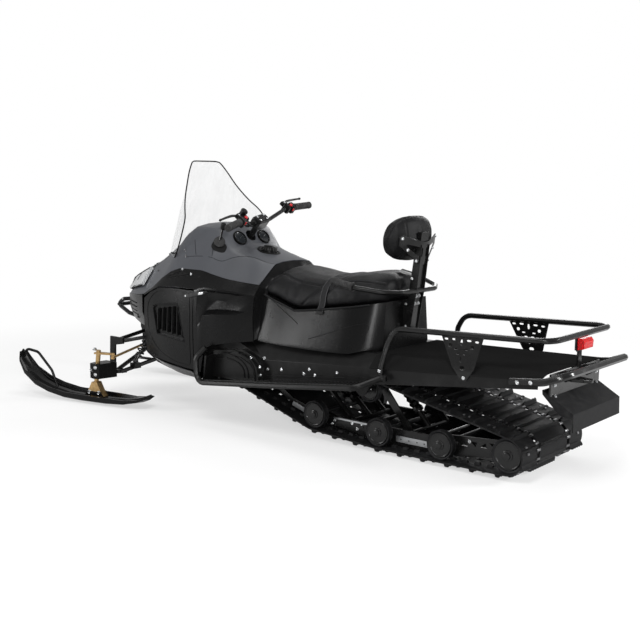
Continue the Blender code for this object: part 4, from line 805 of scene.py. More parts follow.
def dress_seat():
    seat = padding("seat_cover", "seat_cushion", 0.0085, 0.010)
    for vertex in seat.data.vertices:
        lowest = level(vertex.co.x - STATION_ZERO, SEAT_RIM) + RIM_GAP
        vertex.co.z = max(vertex.co.z, lowest)
    skin = Skin("seat_cover")

    def traced(points):
        return [skin.nearest(p)[0] for p in flowing([at(*q) for q in points], 20)]

    shoulders = [traced(on_side(SHOULDER, sign)) for sign in BOTH]
    piped_lines = [*shoulders, traced(FRONT_SEAM), traced(STEP_SEAM)]
    sides = [traced(on_side(line, sign)) for sign in BOTH for line in SIDE_SEAMS]
    stitched(seat, piped_lines + sides, GROOVE_WIDTH, GROOVE_DEPTH)
    seat.data.update()
    finished(seat, "vinyl")
    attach(seat, "chassis")
    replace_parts(seat, "seat_cushion")
    skin = Skin("seat_cover")
    cords = [piped(skin, line, 0.0008, 0.0019) for line in piped_lines]
    piece("seat_piping", joined(*cords), "piping", angle=60)
    dress_stitches(skin, shoulders)
    dress_seat_base(skin)
    dress_strap()


def dress_stitches(skin, shoulders):
    """The light stitches over the rear third of both shoulder seams."""
    stitches = []
    for line in shoulders:
        rear = line[len(line) * 2 // 3:]
        for pair in zip(rear[::2], rear[1::2]):
            ends = [skin.nearest(p + Vector((0, 0, STITCH_RISE))) for p in pair]
            stitches.append(tube([p + n * 0.0006 for p, n in ends], STITCH_RADIUS, 5))
    piece("seat_stitches", joined(*stitches), "thread", angle=50)


def dress_seat_base(skin):
    """The welt under the cushion's edge, and the creases in the base as near-black lines of painted shade."""
    base = Skin("seat_base")
    welts, creases = [], []
    for sign in BOTH:
        rim = []
        for i in range(33):
            x = 0.245 + 0.020 * i
            edge = level(x, SEAT_RIM)
            low = base.beside(x, edge - 0.010, sign)
            high = skin.beside(x, edge + 0.014, sign)
            if low and high:
                inner, outer = abs(low[0].y), abs(high[0].y)
                y = max(inner + 0.001, min(outer - 0.005, inner + 0.009))
                rim.append(at(x, y * sign, edge - 0.003))
        welts.append(tube(rim, WELT_RADIUS, 8))
        creases += [seam(base, on_side(line, sign), 0.0046, 0.0008, 5) for line in BASE_CREASES]
    piece("seat_welt", joined(*welts), "vinyl", angle=50)
    piece("seat_base_crease_shade", joined(*creases), "deep black", angle=60)


# The strap lies across the seat at this station, and is seen from this height in the middle.
STRAP_STATION, STRAP_AXIS = 0.516, 0.70
STRAP_HALF = 0.018


def dress_strap():
    """The passenger's hand strap, drawn taut over the cushion from one side of the base to the other."""
    skin = Skin("seat_cover", "seat_base")
    rays = []
    for i in range(69):
        turn = math.radians(-16.5 + 213 * i / 68)
        x = STRAP_STATION - 0.012 * math.sin(max(0.0, min(math.pi, turn)))
        heading = Vector((0.0, math.cos(turn), math.sin(turn)))
        start = at(x, 0, STRAP_AXIS)
        landed = skin.ray(start + heading * 0.6, -heading)
        if landed:
            rays.append((start, heading, (landed[0] - start).length))
    reach = [r for _, _, r in rays]
    for _ in range(4):
        eased = [(a + b * 2 + c) / 4 for a, b, c in zip(reach, reach[1:], reach[2:])]
        reach[1:-1] = [max(own, r) for own, r in zip(reach[1:], eased)]
    path = [start + heading * (r + 0.0026) for (start, heading, _), r in zip(rays, reach)]
    ways = [(b - a).normalized() for a, b in zip(path, path[2:])]
    ways = [ways[0], *ways, ways[-1]]
    out = [way.cross(Vector((1, 0, 0))).normalized() for way in ways]
    below = ((-STRAP_HALF, -0.0012), (STRAP_HALF, -0.0012), (STRAP_HALF + 0.0005, 0.0))
    outline = (*below, (STRAP_HALF, 0.0014), (-STRAP_HALF, 0.0014), (-STRAP_HALF - 0.0005, 0.0))
    piece("seat_strap", swept(path, outline, out), "webbing", angle=50)
    top = [p + n * 0.0018 for p, n in zip(path, out)]
    hems = [tube([p + Vector((dx, 0, 0)) for p in top], 0.0010, 6) for dx in (-0.0165, 0.0165)]
    piece("strap_hems", joined(*hems), "thread", angle=50)
    feet = []
    for point, normal in ((path[0], out[0]), (path[-1], out[-1])):
        place = point - normal * 0.002
        feet.append(oblong(place, (1, 0, 0), (0, 0, 1), normal, 0.022, 0.008, 0.008))
    piece("strap_feet", joined(*feet), "satin black")


# The backrest's middle, and how far its two seams reach out and up from it.
BACK_STATION, BACK_HEIGHT = 0.172, 0.990
LOOP_WIDE, LOOP_HIGH = 0.180, 0.113


def dress_backrest():
    pad = padding("backrest_cover", "backrest_cushion", 0.0048, 0.008)
    skin = Skin("backrest_cover")
    loops = []
    for offset in (-0.022, 0.018):
        loop = []
        for k in range(96):
            y, z = squared(2 * math.pi * k / 96, 0.75)
            wrap = 0.030 * y ** 2
            station = BACK_STATION + offset + wrap - 0.12 * (z * LOOP_HIGH)
            loop.append(skin.nearest(at(station, y * LOOP_WIDE, BACK_HEIGHT + z * LOOP_HIGH))[0])
        loops.append(loop)
    ahead = Vector((1, 0, 0))
    across = [i * 0.0035 for i in range(-38, 39)]
    starts = [at(0.75, y, 0.935 + 0.02 * math.cos(y * 20)) for y in across]
    lines = [landings(skin.ray, [(start, -ahead) for start in starts])]
    for sign in BOTH:
        starts = [at(-0.4, 0.098 * sign, 0.90 + i * 0.0035) for i in range(52)]
        lines.append(landings(skin.ray, [(start, ahead) for start in starts]))
    stitched(pad, loops + [[p for p, _ in line] for line in lines], 0.008, 0.0030)
    finished(pad, "vinyl")
    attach(pad, "chassis")
    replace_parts(pad, "backrest_cushion")
    skin = Skin("backrest_cover")
    cords = [piped(skin, loop, 0.0006, 0.0016, closed=True) for loop in loops]
    piece("backrest_piping", joined(*cords), "piping", angle=60)


# The bracket that carries the cushion, bent forward to it: distance out and height.
BRACKET_EDGE = (
    (0.000, 0.866), (0.030, 0.868), (0.146, 0.958), (0.149, 1.000),
    (0.138, 1.008), (0.030, 0.978), (0.000, 0.975),
)
BRACKET_HOLE = (
    (0.012, 0.905), (0.050, 0.912), (0.112, 0.958), (0.114, 0.964),
    (0.106, 0.966), (0.036, 0.950), (0.012, 0.946),
)
BRACKET_BOLTS = ((0.137, 0.994), (0.104, 0.940), (0.049, 0.885))
# The two cheeks of the backrest's post: station, height.
CHEEK = (
    (0.146, 0.552), (0.182, 0.552), (0.182, 0.690), (0.160, 0.702),
    (0.118, 0.970), (0.086, 0.960), (0.112, 0.735), (0.122, 0.690),
)
CHEEK_BOLTS = ((0.172, 0.570), (0.172, 0.676), (0.140, 0.800), (0.118, 0.905))
CHEEK_OUT = 0.0305


def bracket_point(y, z):
    return at(0.1275 - 0.125 * (z - 0.700) + max(0.0, abs(y) - 0.045) * 0.42, y, z)


def framed(edge, hole, out):
    """A plate between an edge and a hole of as many corners."""
    shape = bmesh.new()
    front = [[shape.verts.new(p) for p in loop] for loop in (edge, hole)]
    back = [[shape.verts.new(p + out) for p in loop] for loop in (edge, hole)]
    count = len(edge)
    for i in range(count):
        k = (i + 1) % count
        shape.faces.new((front[0][i], front[0][k], front[1][k], front[1][i]))
        shape.faces.new((back[0][i], back[1][i], back[1][k], back[0][k]))
        shape.faces.new((front[0][i], back[0][i], back[0][k], front[0][k]))
        shape.faces.new((front[1][i], front[1][k], back[1][k], back[1][i]))
    return shape


def dress_backrest_frame():
    """Rubber grips on the passenger's rail, and the post's bolts, bracket and cheeks."""
    sleeves, plugs = [], []
    for sign in BOTH:
        rear, front = at(0.280, 0.283 * sign, 0.765), at(0.420, 0.285 * sign, 0.790)
        heading = (front - rear).normalized()
        start = front - heading * 0.125
        profile = [(0.0, 0.0225), (0.004, 0.0230), (0.0042, 0.0165)]
        for i in range(11):
            along = 0.010 + i * 0.0095
            profile += [(along, 0.0155), (along + 0.002, 0.0172)]
            profile += [(along + 0.0065, 0.0172), (along + 0.0085, 0.0155)]
        profile += [(0.116, 0.0175), (0.124, 0.0170), (0.127, 0.0125)]
        sleeves.append(turned(profile, start, heading, 24))
        plugs.append(turned(((0.1265, 0.0070), (0.1285, 0.0066), (0.1290, 0.0040)), start, heading, 16))
    piece("passenger_grips", joined(*sleeves), "grip", angle=40)
    piece("grip_end_plugs", joined(*plugs), "bright steel", angle=40)

    def from_behind(skin, places):
        return landings(skin.ray, [(at(-0.6, y, z), Vector((1, 0, 0))) for y, z in places])

    places = [(y, z) for z in (0.716, 0.680) for y in (0.013, -0.013)]
    bolts("post_bolts", from_behind(Skin("backrest_frame"), places), 0.0055)
    halves = []
    for sign in BOTH:
        edge, hole = ([bracket_point(y * sign, z) for y, z in line] for line in (BRACKET_EDGE, BRACKET_HOLE))
        halves.append(framed(edge, hole, Vector((-0.0035, 0, 0))))
    piece("backrest_bracket", joined(*halves), "satin black", rounding=0.0008, angle=25)
    places = [(y * sign, z) for y, z in BRACKET_BOLTS for sign in BOTH]
    bolts("bracket_bolts", from_behind(Skin("backrest_bracket"), places), 0.0050)
    cheeks = [plate([at(x, CHEEK_OUT * sign, z) for x, z in CHEEK], (0, sign, 0), 0.0025) for sign in BOTH]
    piece("post_cheeks", joined(*cheeks), "satin black", rounding=0.0006)
    side = Skin("post_cheeks")
    places = [(x, z, sign) for sign in BOTH for x, z in CHEEK_BOLTS]
    bolts("cheek_bolts", landings(side.beside, places), 0.0045)


# The collar is traced from this height in the seat's middle.
COLLAR_AXIS = 0.600


def dress_collar():
    """The moulded collar that closes the gap between the hood's rear edge and the seat."""
    seat = Skin("seat_cover", "seat_base")
    stations = [0.80 + 0.004 * k for k in range(60)]
    rings = []
    for i in range(61):
        turn = math.radians(-34 + 248 * i / 60)
        heading = Vector((0.0, math.cos(turn), math.sin(turn)))

        def reach(skin, x):
            start = at(x, 0.0, COLLAR_AXIS)
            landed = skin.ray(start + heading * 0.7, -heading)
            return (landed[0] - start).dot(heading) if landed else None

        def met(skin, least):
            found = [(x, reach(skin, x)) for x in stations]
            return [(x, r) for x, r in found if r and r > least]

        shell, seats = met(body_skin, 0.17), met(seat, 0.12)
        if not shell or not seats:
            continue
        (front, wide), (rear, narrow) = shell[0], seats[-1]
        rear = min(rear, front) - 0.004
        narrow = reach(seat, rear - 0.012) or narrow
        points = (
            (front + 0.030, wide - 0.0060), (front + 0.004, wide - 0.0052), (front - 0.004, wide - 0.0045),
            (rear, min(narrow + 0.001, wide - 0.003)), (rear - 0.014, narrow - 0.003),
        )
        outer = [at(x, 0, COLLAR_AXIS) + heading * r for x, r in points]
        inner = [p - heading * 0.003 for p in reversed(outer)]
        rings.append(outer + inner)
    piece("seat_collar", loft(rings), "moulded black", angle=50)


dress_seat()
dress_collar()
dress_backrest()
dress_backrest_frame()


# Screen and lamps

# The screen's edge: height, half-width, station of its middle.
SCREEN = (
    (1.3519, 0.000, 1.5885), (1.3517, 0.060, 1.5886), (1.3488, 0.092, 1.5900), (1.338, 0.112, 1.594),
    (1.290, 0.148, 1.606), (1.220, 0.190, 1.624), (1.140, 0.245, 1.655), (1.085, 0.286, 1.680),
    (1.040, 0.303, 1.695), (0.950, 0.305, 1.727), (0.880, 0.300, 1.752),
)
SCREEN_CURVE = 3.1


def screen_point(half, share, middle, z):
    y = half * share
    return at(middle - SCREEN_CURVE * y * y, y, z)


def dress_screen():
    """The clear screen as one smooth sheet, its rubber edge, and the clips at its foot."""
    rows = flowing([Vector(row) for row in SCREEN], 5)
    shares = [-1 + i / 12 for i in range(25)]
    grid = [[screen_point(row.y, share, row.z, row.x) for share in shares] for row in rows[4:]]
    foot = []
    for share in shares:
        start = screen_point(0.290, share, 1.768, 2.0)
        landed = hood_skin.ray(start, Vector((0, 0, -1)))
        start.z = (landed[0].z if landed else 0.80) + 0.001
        foot.append(start)
    grid.append(foot)
    inner = Vector((-0.0028, 0, 0))
    shape = bmesh.new()
    front = [[shape.verts.new(p) for p in row] for row in grid]
    back = [[shape.verts.new(p + inner) for p in row] for row in grid]
    last, end = len(grid) - 1, len(shares) - 1
    for i in range(last):
        for j in range(end):
            shape.faces.new((front[i][j], front[i][j + 1], front[i + 1][j + 1], front[i + 1][j]))
            shape.faces.new((back[i][j], back[i + 1][j], back[i + 1][j + 1], back[i][j + 1]))
    rim = [(0, j) for j in range(end)] + [(i, end) for i in range(last)]
    rim += [(last, j) for j in range(end, 0, -1)] + [(i, 0) for i in range(last, 0, -1)]
    for (i, j), (k, m) in zip(rim, rim[1:] + rim[:1]):
        shape.faces.new((front[i][j], back[i][j], back[k][m], front[k][m]))
    screen = piece("clear_screen", shape, "clear", angle=50)
    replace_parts(screen, "windshield")
    edge = [row[0] for row in reversed(grid)] + grid[0][1:-1] + [row[-1] for row in grid]
    edge = [p + inner / 2 for p in edge]
    piece("screen_edge", tube(edge, 0.0036, 8, up=Vector((1, 0, 0))), "deep black", angle=60)
    clips, heads = [], []
    for sign in BOTH:
        for share in (0.92, 0.45):
            y = 0.292 * share * sign
            x = 1.762 - SCREEN_CURVE * y * y
            landed = hood_skin.over(x - 0.020, y)
            if not landed:
                continue
            middle, out = landed
            clips.append(oblong(middle - out * 0.001, (1, 0, 0), (0, 1, 0), out, 0.022, 0.014, 0.016, 0.4))
            heads.append((middle + out * 0.015, out))
    piece("screen_clips", joined(*clips), "deep black")
    bolts("screen_bolts", heads, radius=0.0045)


def dress_lamps():
    """A dark bezel round the head lamp with dividers, and the rear lamp's case."""
    lamp = Skin("headlamp")
    low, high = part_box("headlamp")
    columns = []
    for k in range(25):
        turn = math.radians(-90 + 180 * k / 24)
        heading = Vector((math.cos(turn), math.sin(turn), 0.0))
        heights = [high.z + 0.03 - i * (high.z - low.z + 0.06) / 60 for i in range(61)]
        starts = [at(1.76, 0, 0) + Vector((0, 0, z)) + heading * 0.8 for z in heights]
        found = landings(lamp.ray, [(start, -heading) for start in starts])
        column = [p for p, _ in found]
        if len(column) > 2:
            columns.append((column[0], column[len(column) // 2], column[-1]))
    beads = [tube([c[which] for c in columns], 0.0035, 8) for which in (0, 2)]
    piece("lamp_bezel", joined(*beads), "deep black", angle=60)
    bars = [tube(list(c), 0.0022, 6, up=Vector((0, 1, 0.01))) for c in columns[3:-3:3]]
    piece("lamp_dividers", joined(*bars), "trim grey", angle=60)
    low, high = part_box("taillight")
    middle = (low.z + high.z) / 2
    ribs = []
    for i in range(4):
        z = low.z + 0.010 + i * 0.011
        across = [low.y + 0.004 + k * (high.y - low.y - 0.008) / 8 for k in range(9)]
        ribs.append(tube([Vector((low.x + 0.004, y, z)) for y in across], 0.0012, 6))
    piece("rear_lamp_ribs", joined(*ribs), "lamp red", angle=60)
    outline = (
        (low.y - 0.006, low.z - 0.005), (high.y + 0.006, low.z - 0.005), (high.y + 0.008, middle),
        (high.y + 0.003, high.z + 0.006), (low.y - 0.003, high.z + 0.006), (low.y - 0.008, middle),
    )
    case = plate([Vector((high.x, y, z)) for y, z in outline], (1, 0, 0), 0.004)
    piece("rear_lamp_case", case, "moulded black", rounding=0.0012)


# Controls, in the bars' own frame: forward, to the left, up the column.

BARS = (
    Matrix.Translation(at(1.300, 0.0, 0.860))
    @ Matrix.Rotation(-COLUMN_LEAN, 4, "Y")
    @ Matrix.Rotation(TURN, 4, "Z")
)
GRIP_END = Vector((-0.035, 0.385, 0.300))
GRIP_WAY = (Vector((-0.006, 0.200, 0.290)) - GRIP_END).normalized()


def on_grip(along, forward=0.0, up=0.0, sign=1.0):
    """A point by its distance in from the grip's end, ahead of the bar and over it."""
    p = GRIP_END + GRIP_WAY * along
    return Vector((p.x + forward, p.y * sign, p.z + up))


def bar_piece(name, shape, finish, **more):
    return piece(name, moved(shape, BARS), finish, "steering", **more)


def dress_grips():
    sleeves, discs = [], []
    for sign in BOTH:
        way = Vector((GRIP_WAY.x, GRIP_WAY.y * sign, GRIP_WAY.z))
        end = Vector((GRIP_END.x, GRIP_END.y * sign, GRIP_END.z))
        profile = [(-0.0045, 0.0125), (-0.0040, 0.0188), (0.004, 0.0198), (0.0065, 0.0182)]
        for i in range(13):
            along = 0.010 + i * 0.0084
            profile += [(along, 0.0176), (along + 0.0015, 0.0188)]
            profile += [(along + 0.0055, 0.0188), (along + 0.0070, 0.0176)]
        profile += [(0.1225, 0.0200), (0.127, 0.0200), (0.1275, 0.0125)]
        sleeves.append(turned(profile, end, way, 28))
        disc = ((-0.0040, 0.0130), (-0.0052, 0.0120), (-0.0052, 0.0040), (-0.0040, 0.0030))
        discs.append(turned(disc, end, way, 24))
    bar_piece("grip_sleeves", joined(*sleeves), "grip", angle=40)
    bar_piece("grip_discs", joined(*discs), "trim grey", angle=40)


LEVER_OUTLINE = (
    (-0.0075, -0.003), (0.0075, -0.003), (0.0085, 0.0), (0.0075, 0.003), (-0.0075, 0.003), (-0.0085, 0.0),
)
# The reservoir's profile: up from its middle, radius.
RESERVOIR = (
    (-0.012, 0.016), (0.026, 0.0175), (0.027, 0.0195), (0.0335, 0.0195), (0.036, 0.0170), (0.0365, 0.006),
)


def dress_controls():
    """Grips, clamp blocks, levers, switches, the reservoir and the bars' middle."""
    dress_grips()
    blocks, levers, reds, steel = [], [], [], []
    ahead = Vector((1, 0, 0))
    for sign in BOTH:
        way = Vector((GRIP_WAY.x, GRIP_WAY.y * sign, GRIP_WAY.z))
        up = way.cross(ahead).normalized()
        up = up if up.z > 0 else -up
        for along, half, reach in ((0.152, 0.017, 0.024), (0.188, 0.012, 0.021)):
            centre = on_grip(along, 0.0, 0.0, sign)
            blocks.append(oblong(centre - up * 0.024, ahead, way, up, reach, half, 0.048, 0.45, 24))
        root = on_grip(0.172, 0.034, -0.002, sign)
        blocks.append(oblong(root - up * 0.010, ahead, way, up, 0.016, 0.020, 0.020, 0.5))
        tip = on_grip(0.012, 0.062, -0.006, sign)
        between = [on_grip(0.130, 0.052, -0.003, sign), on_grip(0.070, 0.060, -0.006, sign)]
        path = flowing([root, *between, tip], 6)
        size = [1.0 - 0.35 * i / (len(path) - 1) for i in range(len(path))]
        levers.append(swept(path, LEVER_OUTLINE, up, scale=size))
        knob = ((-0.006, 0.002), (-0.004, 0.0066), (0.003, 0.0070), (0.006, 0.003))
        levers.append(turned(knob, tip, way, 14))
        steel.append(bolt(root + up * 0.010, up, 0.0045))
        top = on_grip(0.160, -0.004, 0.0, sign) + up * 0.022
        reds.append(turned(((0.0, 0.0085), (0.005, 0.0085), (0.0075, 0.0062)), top + way * 0.012, up, 18))
        rear_face = on_grip(0.160, -0.022, 0.004, sign)
        reds.append(oblong(rear_face, way, up, -ahead, 0.0045, 0.0085, 0.005, 0.5))
    # The brake's reservoir stands on the left block, a little leant back.
    blocks.append(turned(RESERVOIR, on_grip(0.190, 0.030, 0.004), (-0.1, 0, 1), 24))
    # The middle: the clamp's cap with its four bolts, and the two braces.
    blocks.append(oblong((0.0, 0.0, 0.238), ahead, (0, 1, 0), (0, 0, 1), 0.026, 0.050, 0.020, 0.3, 28))
    for y in (0.030, -0.030):
        for x in (0.014, -0.014):
            steel.append(bolt(Vector((x, y, 0.2575)), (0, 0, 1), 0.0042))
    for sign in BOTH:
        brace = on_side(((0.004, 0.030, 0.205), (0.006, 0.105, 0.213), (0.002, 0.178, 0.262)), sign)
        blocks.append(tube(flowing(brace, 6), 0.0055, 8))
    bar_piece("control_blocks", joined(*blocks), "moulded black", rounding=0.0006)
    bar_piece("levers", joined(*levers), "satin black", angle=50)
    bar_piece("switches", joined(*reds), "switch red", angle=50)
    bar_piece("control_bolts", joined(*steel), "bright steel")


# Creases of the hood and of the console behind it: station, distance out, height.
HOOD_CREASE = (
    (2.040, 0.100, 0.650), (1.900, 0.178, 0.700), (1.760, 0.215, 0.760),
    (1.600, 0.232, 0.850), (1.500, 0.232, 0.910),
)
CONSOLE_EDGE = (
    (1.405, 0.302, 0.845), (1.338, 0.292, 0.853), (1.247, 0.279, 0.852), (1.187, 0.250, 0.833),
    (1.134, 0.200, 0.854), (1.059, 0.159, 0.856), (0.960, 0.150, 0.835), (0.918, 0.140, 0.830),
)
CONSOLE_FOLDS = (
    ((1.389, 0.250, 0.933), (1.366, 0.270, 0.896), (1.341, 0.289, 0.858)),
    ((1.265, 0.231, 0.938), (1.253, 0.250, 0.898), (1.240, 0.271, 0.858)),
)
SIDE_CLIPS = ((1.433, 0.282, 0.879), (1.408, 0.299, 0.850))
# The ring round each front vent: station, distance out.
VENT_RING = ((1.925, 0.070), (1.930, 0.150), (1.860, 0.188), (1.770, 0.205), (1.765, 0.125), (1.850, 0.090))


def dress_hood():
    """The hood's creases as near-black lines of painted shade, its side clips and front vents."""
    beads = []
    for sign in BOTH:
        beads.append(seam(hood_skin, on_side(HOOD_CREASE, sign), 0.0030, 0.0006, 8))
        for fold in (CONSOLE_EDGE, *CONSOLE_FOLDS):
            beads.append(seam(hood_skin, on_side(fold, sign), 0.0028, 0.0006, 8))
    across = [(1.600, 0.08 * i, 0.90) for i in range(-4, 5)]
    beads.append(seam(hood_skin, across, 0.0030, 0.0006, 8))
    # The beads are near-black: painted shade along the creases and folds.
    piece("hood_crease_shade", joined(*beads), "deep black", angle=60)
    clips = [hood_skin.nearest(at(*p)) for sign in BOTH for p in on_side(SIDE_CLIPS, sign)]
    bolts("side_clips", clips, radius=0.0048, finish="dull clips")
    slats, frames = [], []
    for sign in BOTH:
        for i in range(5):
            x, inner = 1.905 - 0.030 * i, 0.085 + 0.010 * i
            places = [(x - 0.006 * k, (inner + 0.065 * k / 4) * sign) for k in range(5)]
            found = landings(hood_skin.over, places)
            if len(found) > 2:
                outline = ((-0.006, -0.001), (0.006, -0.001), (0.004, 0.0045), (-0.001, 0.0055))
                slats.append(laid(found, outline))
        places = [(x, y * sign) for x, y in curved(VENT_RING, 6, True)]
        found = landings(hood_skin.over, places)
        frames.append(laid(found, bead(0.004, 0.0025, 0.0035), closed=True))
    piece("hood_vent_slats", joined(*slats), "deep black", angle=50)
    piece("hood_vent_frames", joined(*frames), "moulded black", angle=50)


def dress_dials():
    """Two round dials with blank faces, each with thirteen marks and a needle."""
    rings, faces, marks = [], [], []
    for y in (0.092, -0.092):
        landed = hood_skin.ray(at(0.60, y, 1.18), Vector((0.93, 0, -0.36)).normalized())
        if not landed:
            continue
        middle, out = landed
        rim = ((-0.012, 0.042), (0.006, 0.0425), (0.010, 0.0400), (0.010, 0.0365), (0.004, 0.0355))
        rings.append(turned(rim, middle, out, 36))
        faces.append(turned(((-0.004, 0.0360), (0.0045, 0.0358), (0.0048, 0.001)), middle, out, 36))
        across = out.cross(Vector((0, 0, 1))).normalized()
        high = across.cross(out).normalized()
        for k in range(13):
            turn = math.radians(-30 + 240 * k / 12)
            way = across * math.cos(turn) + high * math.sin(turn)
            start = middle + out * 0.0050 + way * (0.027 if k % 3 == 0 else 0.030)
            marks.append(tube([start, middle + out * 0.0050 + way * 0.0335], 0.0006, 4))
        needle = across * math.cos(2.6) + high * math.sin(2.6)
        pivot = middle + out * 0.0056
        marks.append(tube([pivot, pivot + needle * 0.026], 0.0009, 5))
    piece("dial_rims", joined(*rings), "deep black", angle=40)
    piece("dial_faces", joined(*faces), "dial face", angle=40)
    piece("dial_marks", joined(*marks), "bright steel", angle=40)


# The fuel cap's middle.
CAP_STATION = 1.085


def dress_console():
    """The fuel cap's grip and ring, and the plate under the gear lever."""
    upright = Vector((0, 0, 1))
    crown, _ = Skin("fuel_cap").over(CAP_STATION, 0.0)
    ribs = []
    for k in range(20):
        turn = math.pi * k / 10
        way = Vector((math.cos(turn), math.sin(turn), 0))
        middle = crown + way * 0.0405 - upright * 0.016
        ribs.append(oblong(middle, way.cross(upright), way, upright, 0.0036, 0.0060, 0.014, 0.5, 12))
    ribs.append(oblong(crown - upright * 0.001, (0, 1, 0), (1, 0, 0), upright, 0.0075, 0.031, 0.010, 0.5, 20))
    piece("fuel_cap_grip", joined(*ribs), "trim grey", angle=40)
    round_cap = [(CAP_STATION + x, y) for x, y in circle(0.056, 36)]
    outline = ((-0.007, -0.001), (0.007, -0.001), (0.005, 0.004), (-0.004, 0.0045))
    ring = laid(landings(hood_skin.over, round_cap), outline, closed=True)
    piece("fuel_cap_ring", ring, "deep black", angle=50)
    lever = [v.co for v in nodes["gear_lever"].data.vertices]
    lowest = min(p.z for p in lever)
    foot = [p for p in lever if p.z < lowest + 0.015]
    middle, out = hood_skin.nearest(sum(foot, Vector()) / len(foot))
    across = out.cross(Vector((1, 0, 0))).normalized()
    under = oblong(middle - out * 0.001, across, out.cross(across), out, 0.030, 0.040, 0.0035, 0.7, 32)
    piece("selector_plate", under, "deep black", angle=40)


# Side panels and knee panels


# Lines on the side panel: station, height.
DOOR_BEAD = (
    (1.640, 0.590), (1.560, 0.655), (1.440, 0.668), (1.320, 0.668), (1.296, 0.640),
    (1.290, 0.520), (1.292, 0.390), (1.296, 0.300), (1.340, 0.285), (1.450, 0.300),
    (1.560, 0.345), (1.630, 0.410), (1.648, 0.500),
)
# The plate behind the louvre fins, near-black as painted shade for the dark inside: station, height.
LOUVRE_SHADE_PLATE = ((1.595, 0.590), (1.575, 0.415), (1.330, 0.398), (1.375, 0.620))
LOUVRE_LIP = ((1.597, 0.582), (1.559, 0.425), (1.333, 0.406), (1.383, 0.612))
LATCH_LINE = (
    (1.322, 0.649), (1.300, 0.653), (1.278, 0.658), (1.262, 0.662),
    (1.245, 0.667), (1.220, 0.674), (1.196, 0.681), (1.176, 0.686),
)
LATCH_WIDTHS = (0.75, 0.95, 1.0, 1.0, 1.0, 1.0, 0.95, 0.6)
LATCH_OUTLINE = (
    (-0.0100, -0.0035), (0.0100, -0.0035), (0.0095, 0.0016),
    (0.0060, 0.0032), (-0.0060, 0.0032), (-0.0095, 0.0016),
)
# A near-black plate, painted shade in the gap, stands this far out and up from this height, in front of each
# side panel.
GAP_SHADE_OUT, GAP_SHADE_FOOT = 0.300, 0.480


def dress_doors():
    for side, sign in SIDES.items():
        body = "side_panel_" + side
        door = Skin(body)
        found = landings(door.beside, [(x, z, sign) for x, z in curved(DOOR_BEAD, 6, True)])
        shape = laid(found, bead(0.0030, 0.0018, 0.0022), closed=True)
        piece("door_bead_" + side, shape, "moulded black", body, angle=60)
        dress_louvres(side, sign, door)
        # Close the gap before each side panel with a near-black plate: painted shade.
        gap_shade_tops = []
        for x in (1.690, 1.720, 1.750, 1.780, 1.810):
            over = hood_skin.over(x, GAP_SHADE_OUT * sign)
            top = min(0.680, over[0].z - 0.014) if over else 0.640
            gap_shade_tops.append((x, top))
        corners = [at(x, GAP_SHADE_OUT * sign, GAP_SHADE_FOOT) for x, _ in gap_shade_tops]
        corners += [at(x, GAP_SHADE_OUT * sign, top) for x, top in reversed(gap_shade_tops)]
        piece("door_gap_shade_" + side, plate(corners, (0, -sign, 0), 0.003), "deep black")
        both = Skin(body, "knee_panel_" + side)
        found = landings(both.beside, [(x, z, sign) for x, z in LATCH_LINE])
        over = [(p + n * 0.004, n) for p, n in found]
        strap = laid(over, LATCH_OUTLINE, scale=LATCH_WIDTHS)
        piece("latch_strap_" + side, strap, "grip", body, angle=50)
        point, out = both.beside(1.212, 0.677, sign)
        start = point + out * 0.0060
        button = oblong(start, (0.25, 0, 1), (1, 0, -0.25), out, 0.0065, 0.0190, 0.0050, 0.6, 24)
        piece("latch_button_" + side, button, "bright steel", body, angle=40)
        point, out = both.beside(1.316, 0.651, sign)
        bolts("latch_pin_" + side, [(point + out * 0.005, out)], 0.0042, body)


def dress_louvres(side, sign, door):
    """Six fins before a near-black plate, painted shade for the dark inside, in a raised lip."""
    body = "side_panel_" + side
    fins = []
    for i in range(6):
        x = 1.558 - i * 0.038
        low, high = 0.446 - 0.004 * i, 0.568 + 0.006 * i
        landed = door.beside(x, 0.5, sign)
        if not landed:
            continue
        inner = abs(landed[0].y)
        outer = min(inner + 0.017, 0.384)
        corners = (
            (x + 0.0015, inner, low), (x - 0.009, inner, high),
            (x - 0.012, outer, high - 0.004), (x - 0.0045, outer, low + 0.004),
        )
        fins.append(plate([at(*p) for p in on_side(corners, sign)], (-1, 0, 0), 0.0028))
    piece("louvre_fins_" + side, joined(*fins), "trim grey", body, rounding=0.0008)
    back = [at(x, 0.352 * sign, z) for x, z in LOUVRE_SHADE_PLATE]
    piece("louvre_shade_plate_" + side, plate(back, (0, -sign, 0), 0.002), "deep black", body)
    places = []
    for (x, z), (x2, z2) in zip(LOUVRE_LIP, LOUVRE_LIP[1:] + LOUVRE_LIP[:1]):
        places += [(x + (x2 - x) * k / 8, z + (z2 - z) * k / 8, sign) for k in range(8)]
    found = [f for f in landings(door.beside, places) if abs(f[0].y) > 0.372]
    if len(found) > 8:
        lip = laid(found, bead(0.0025, 0.0012, 0.0024), closed=True)
        piece("louvre_lip_" + side, lip, "moulded black", body, angle=60)


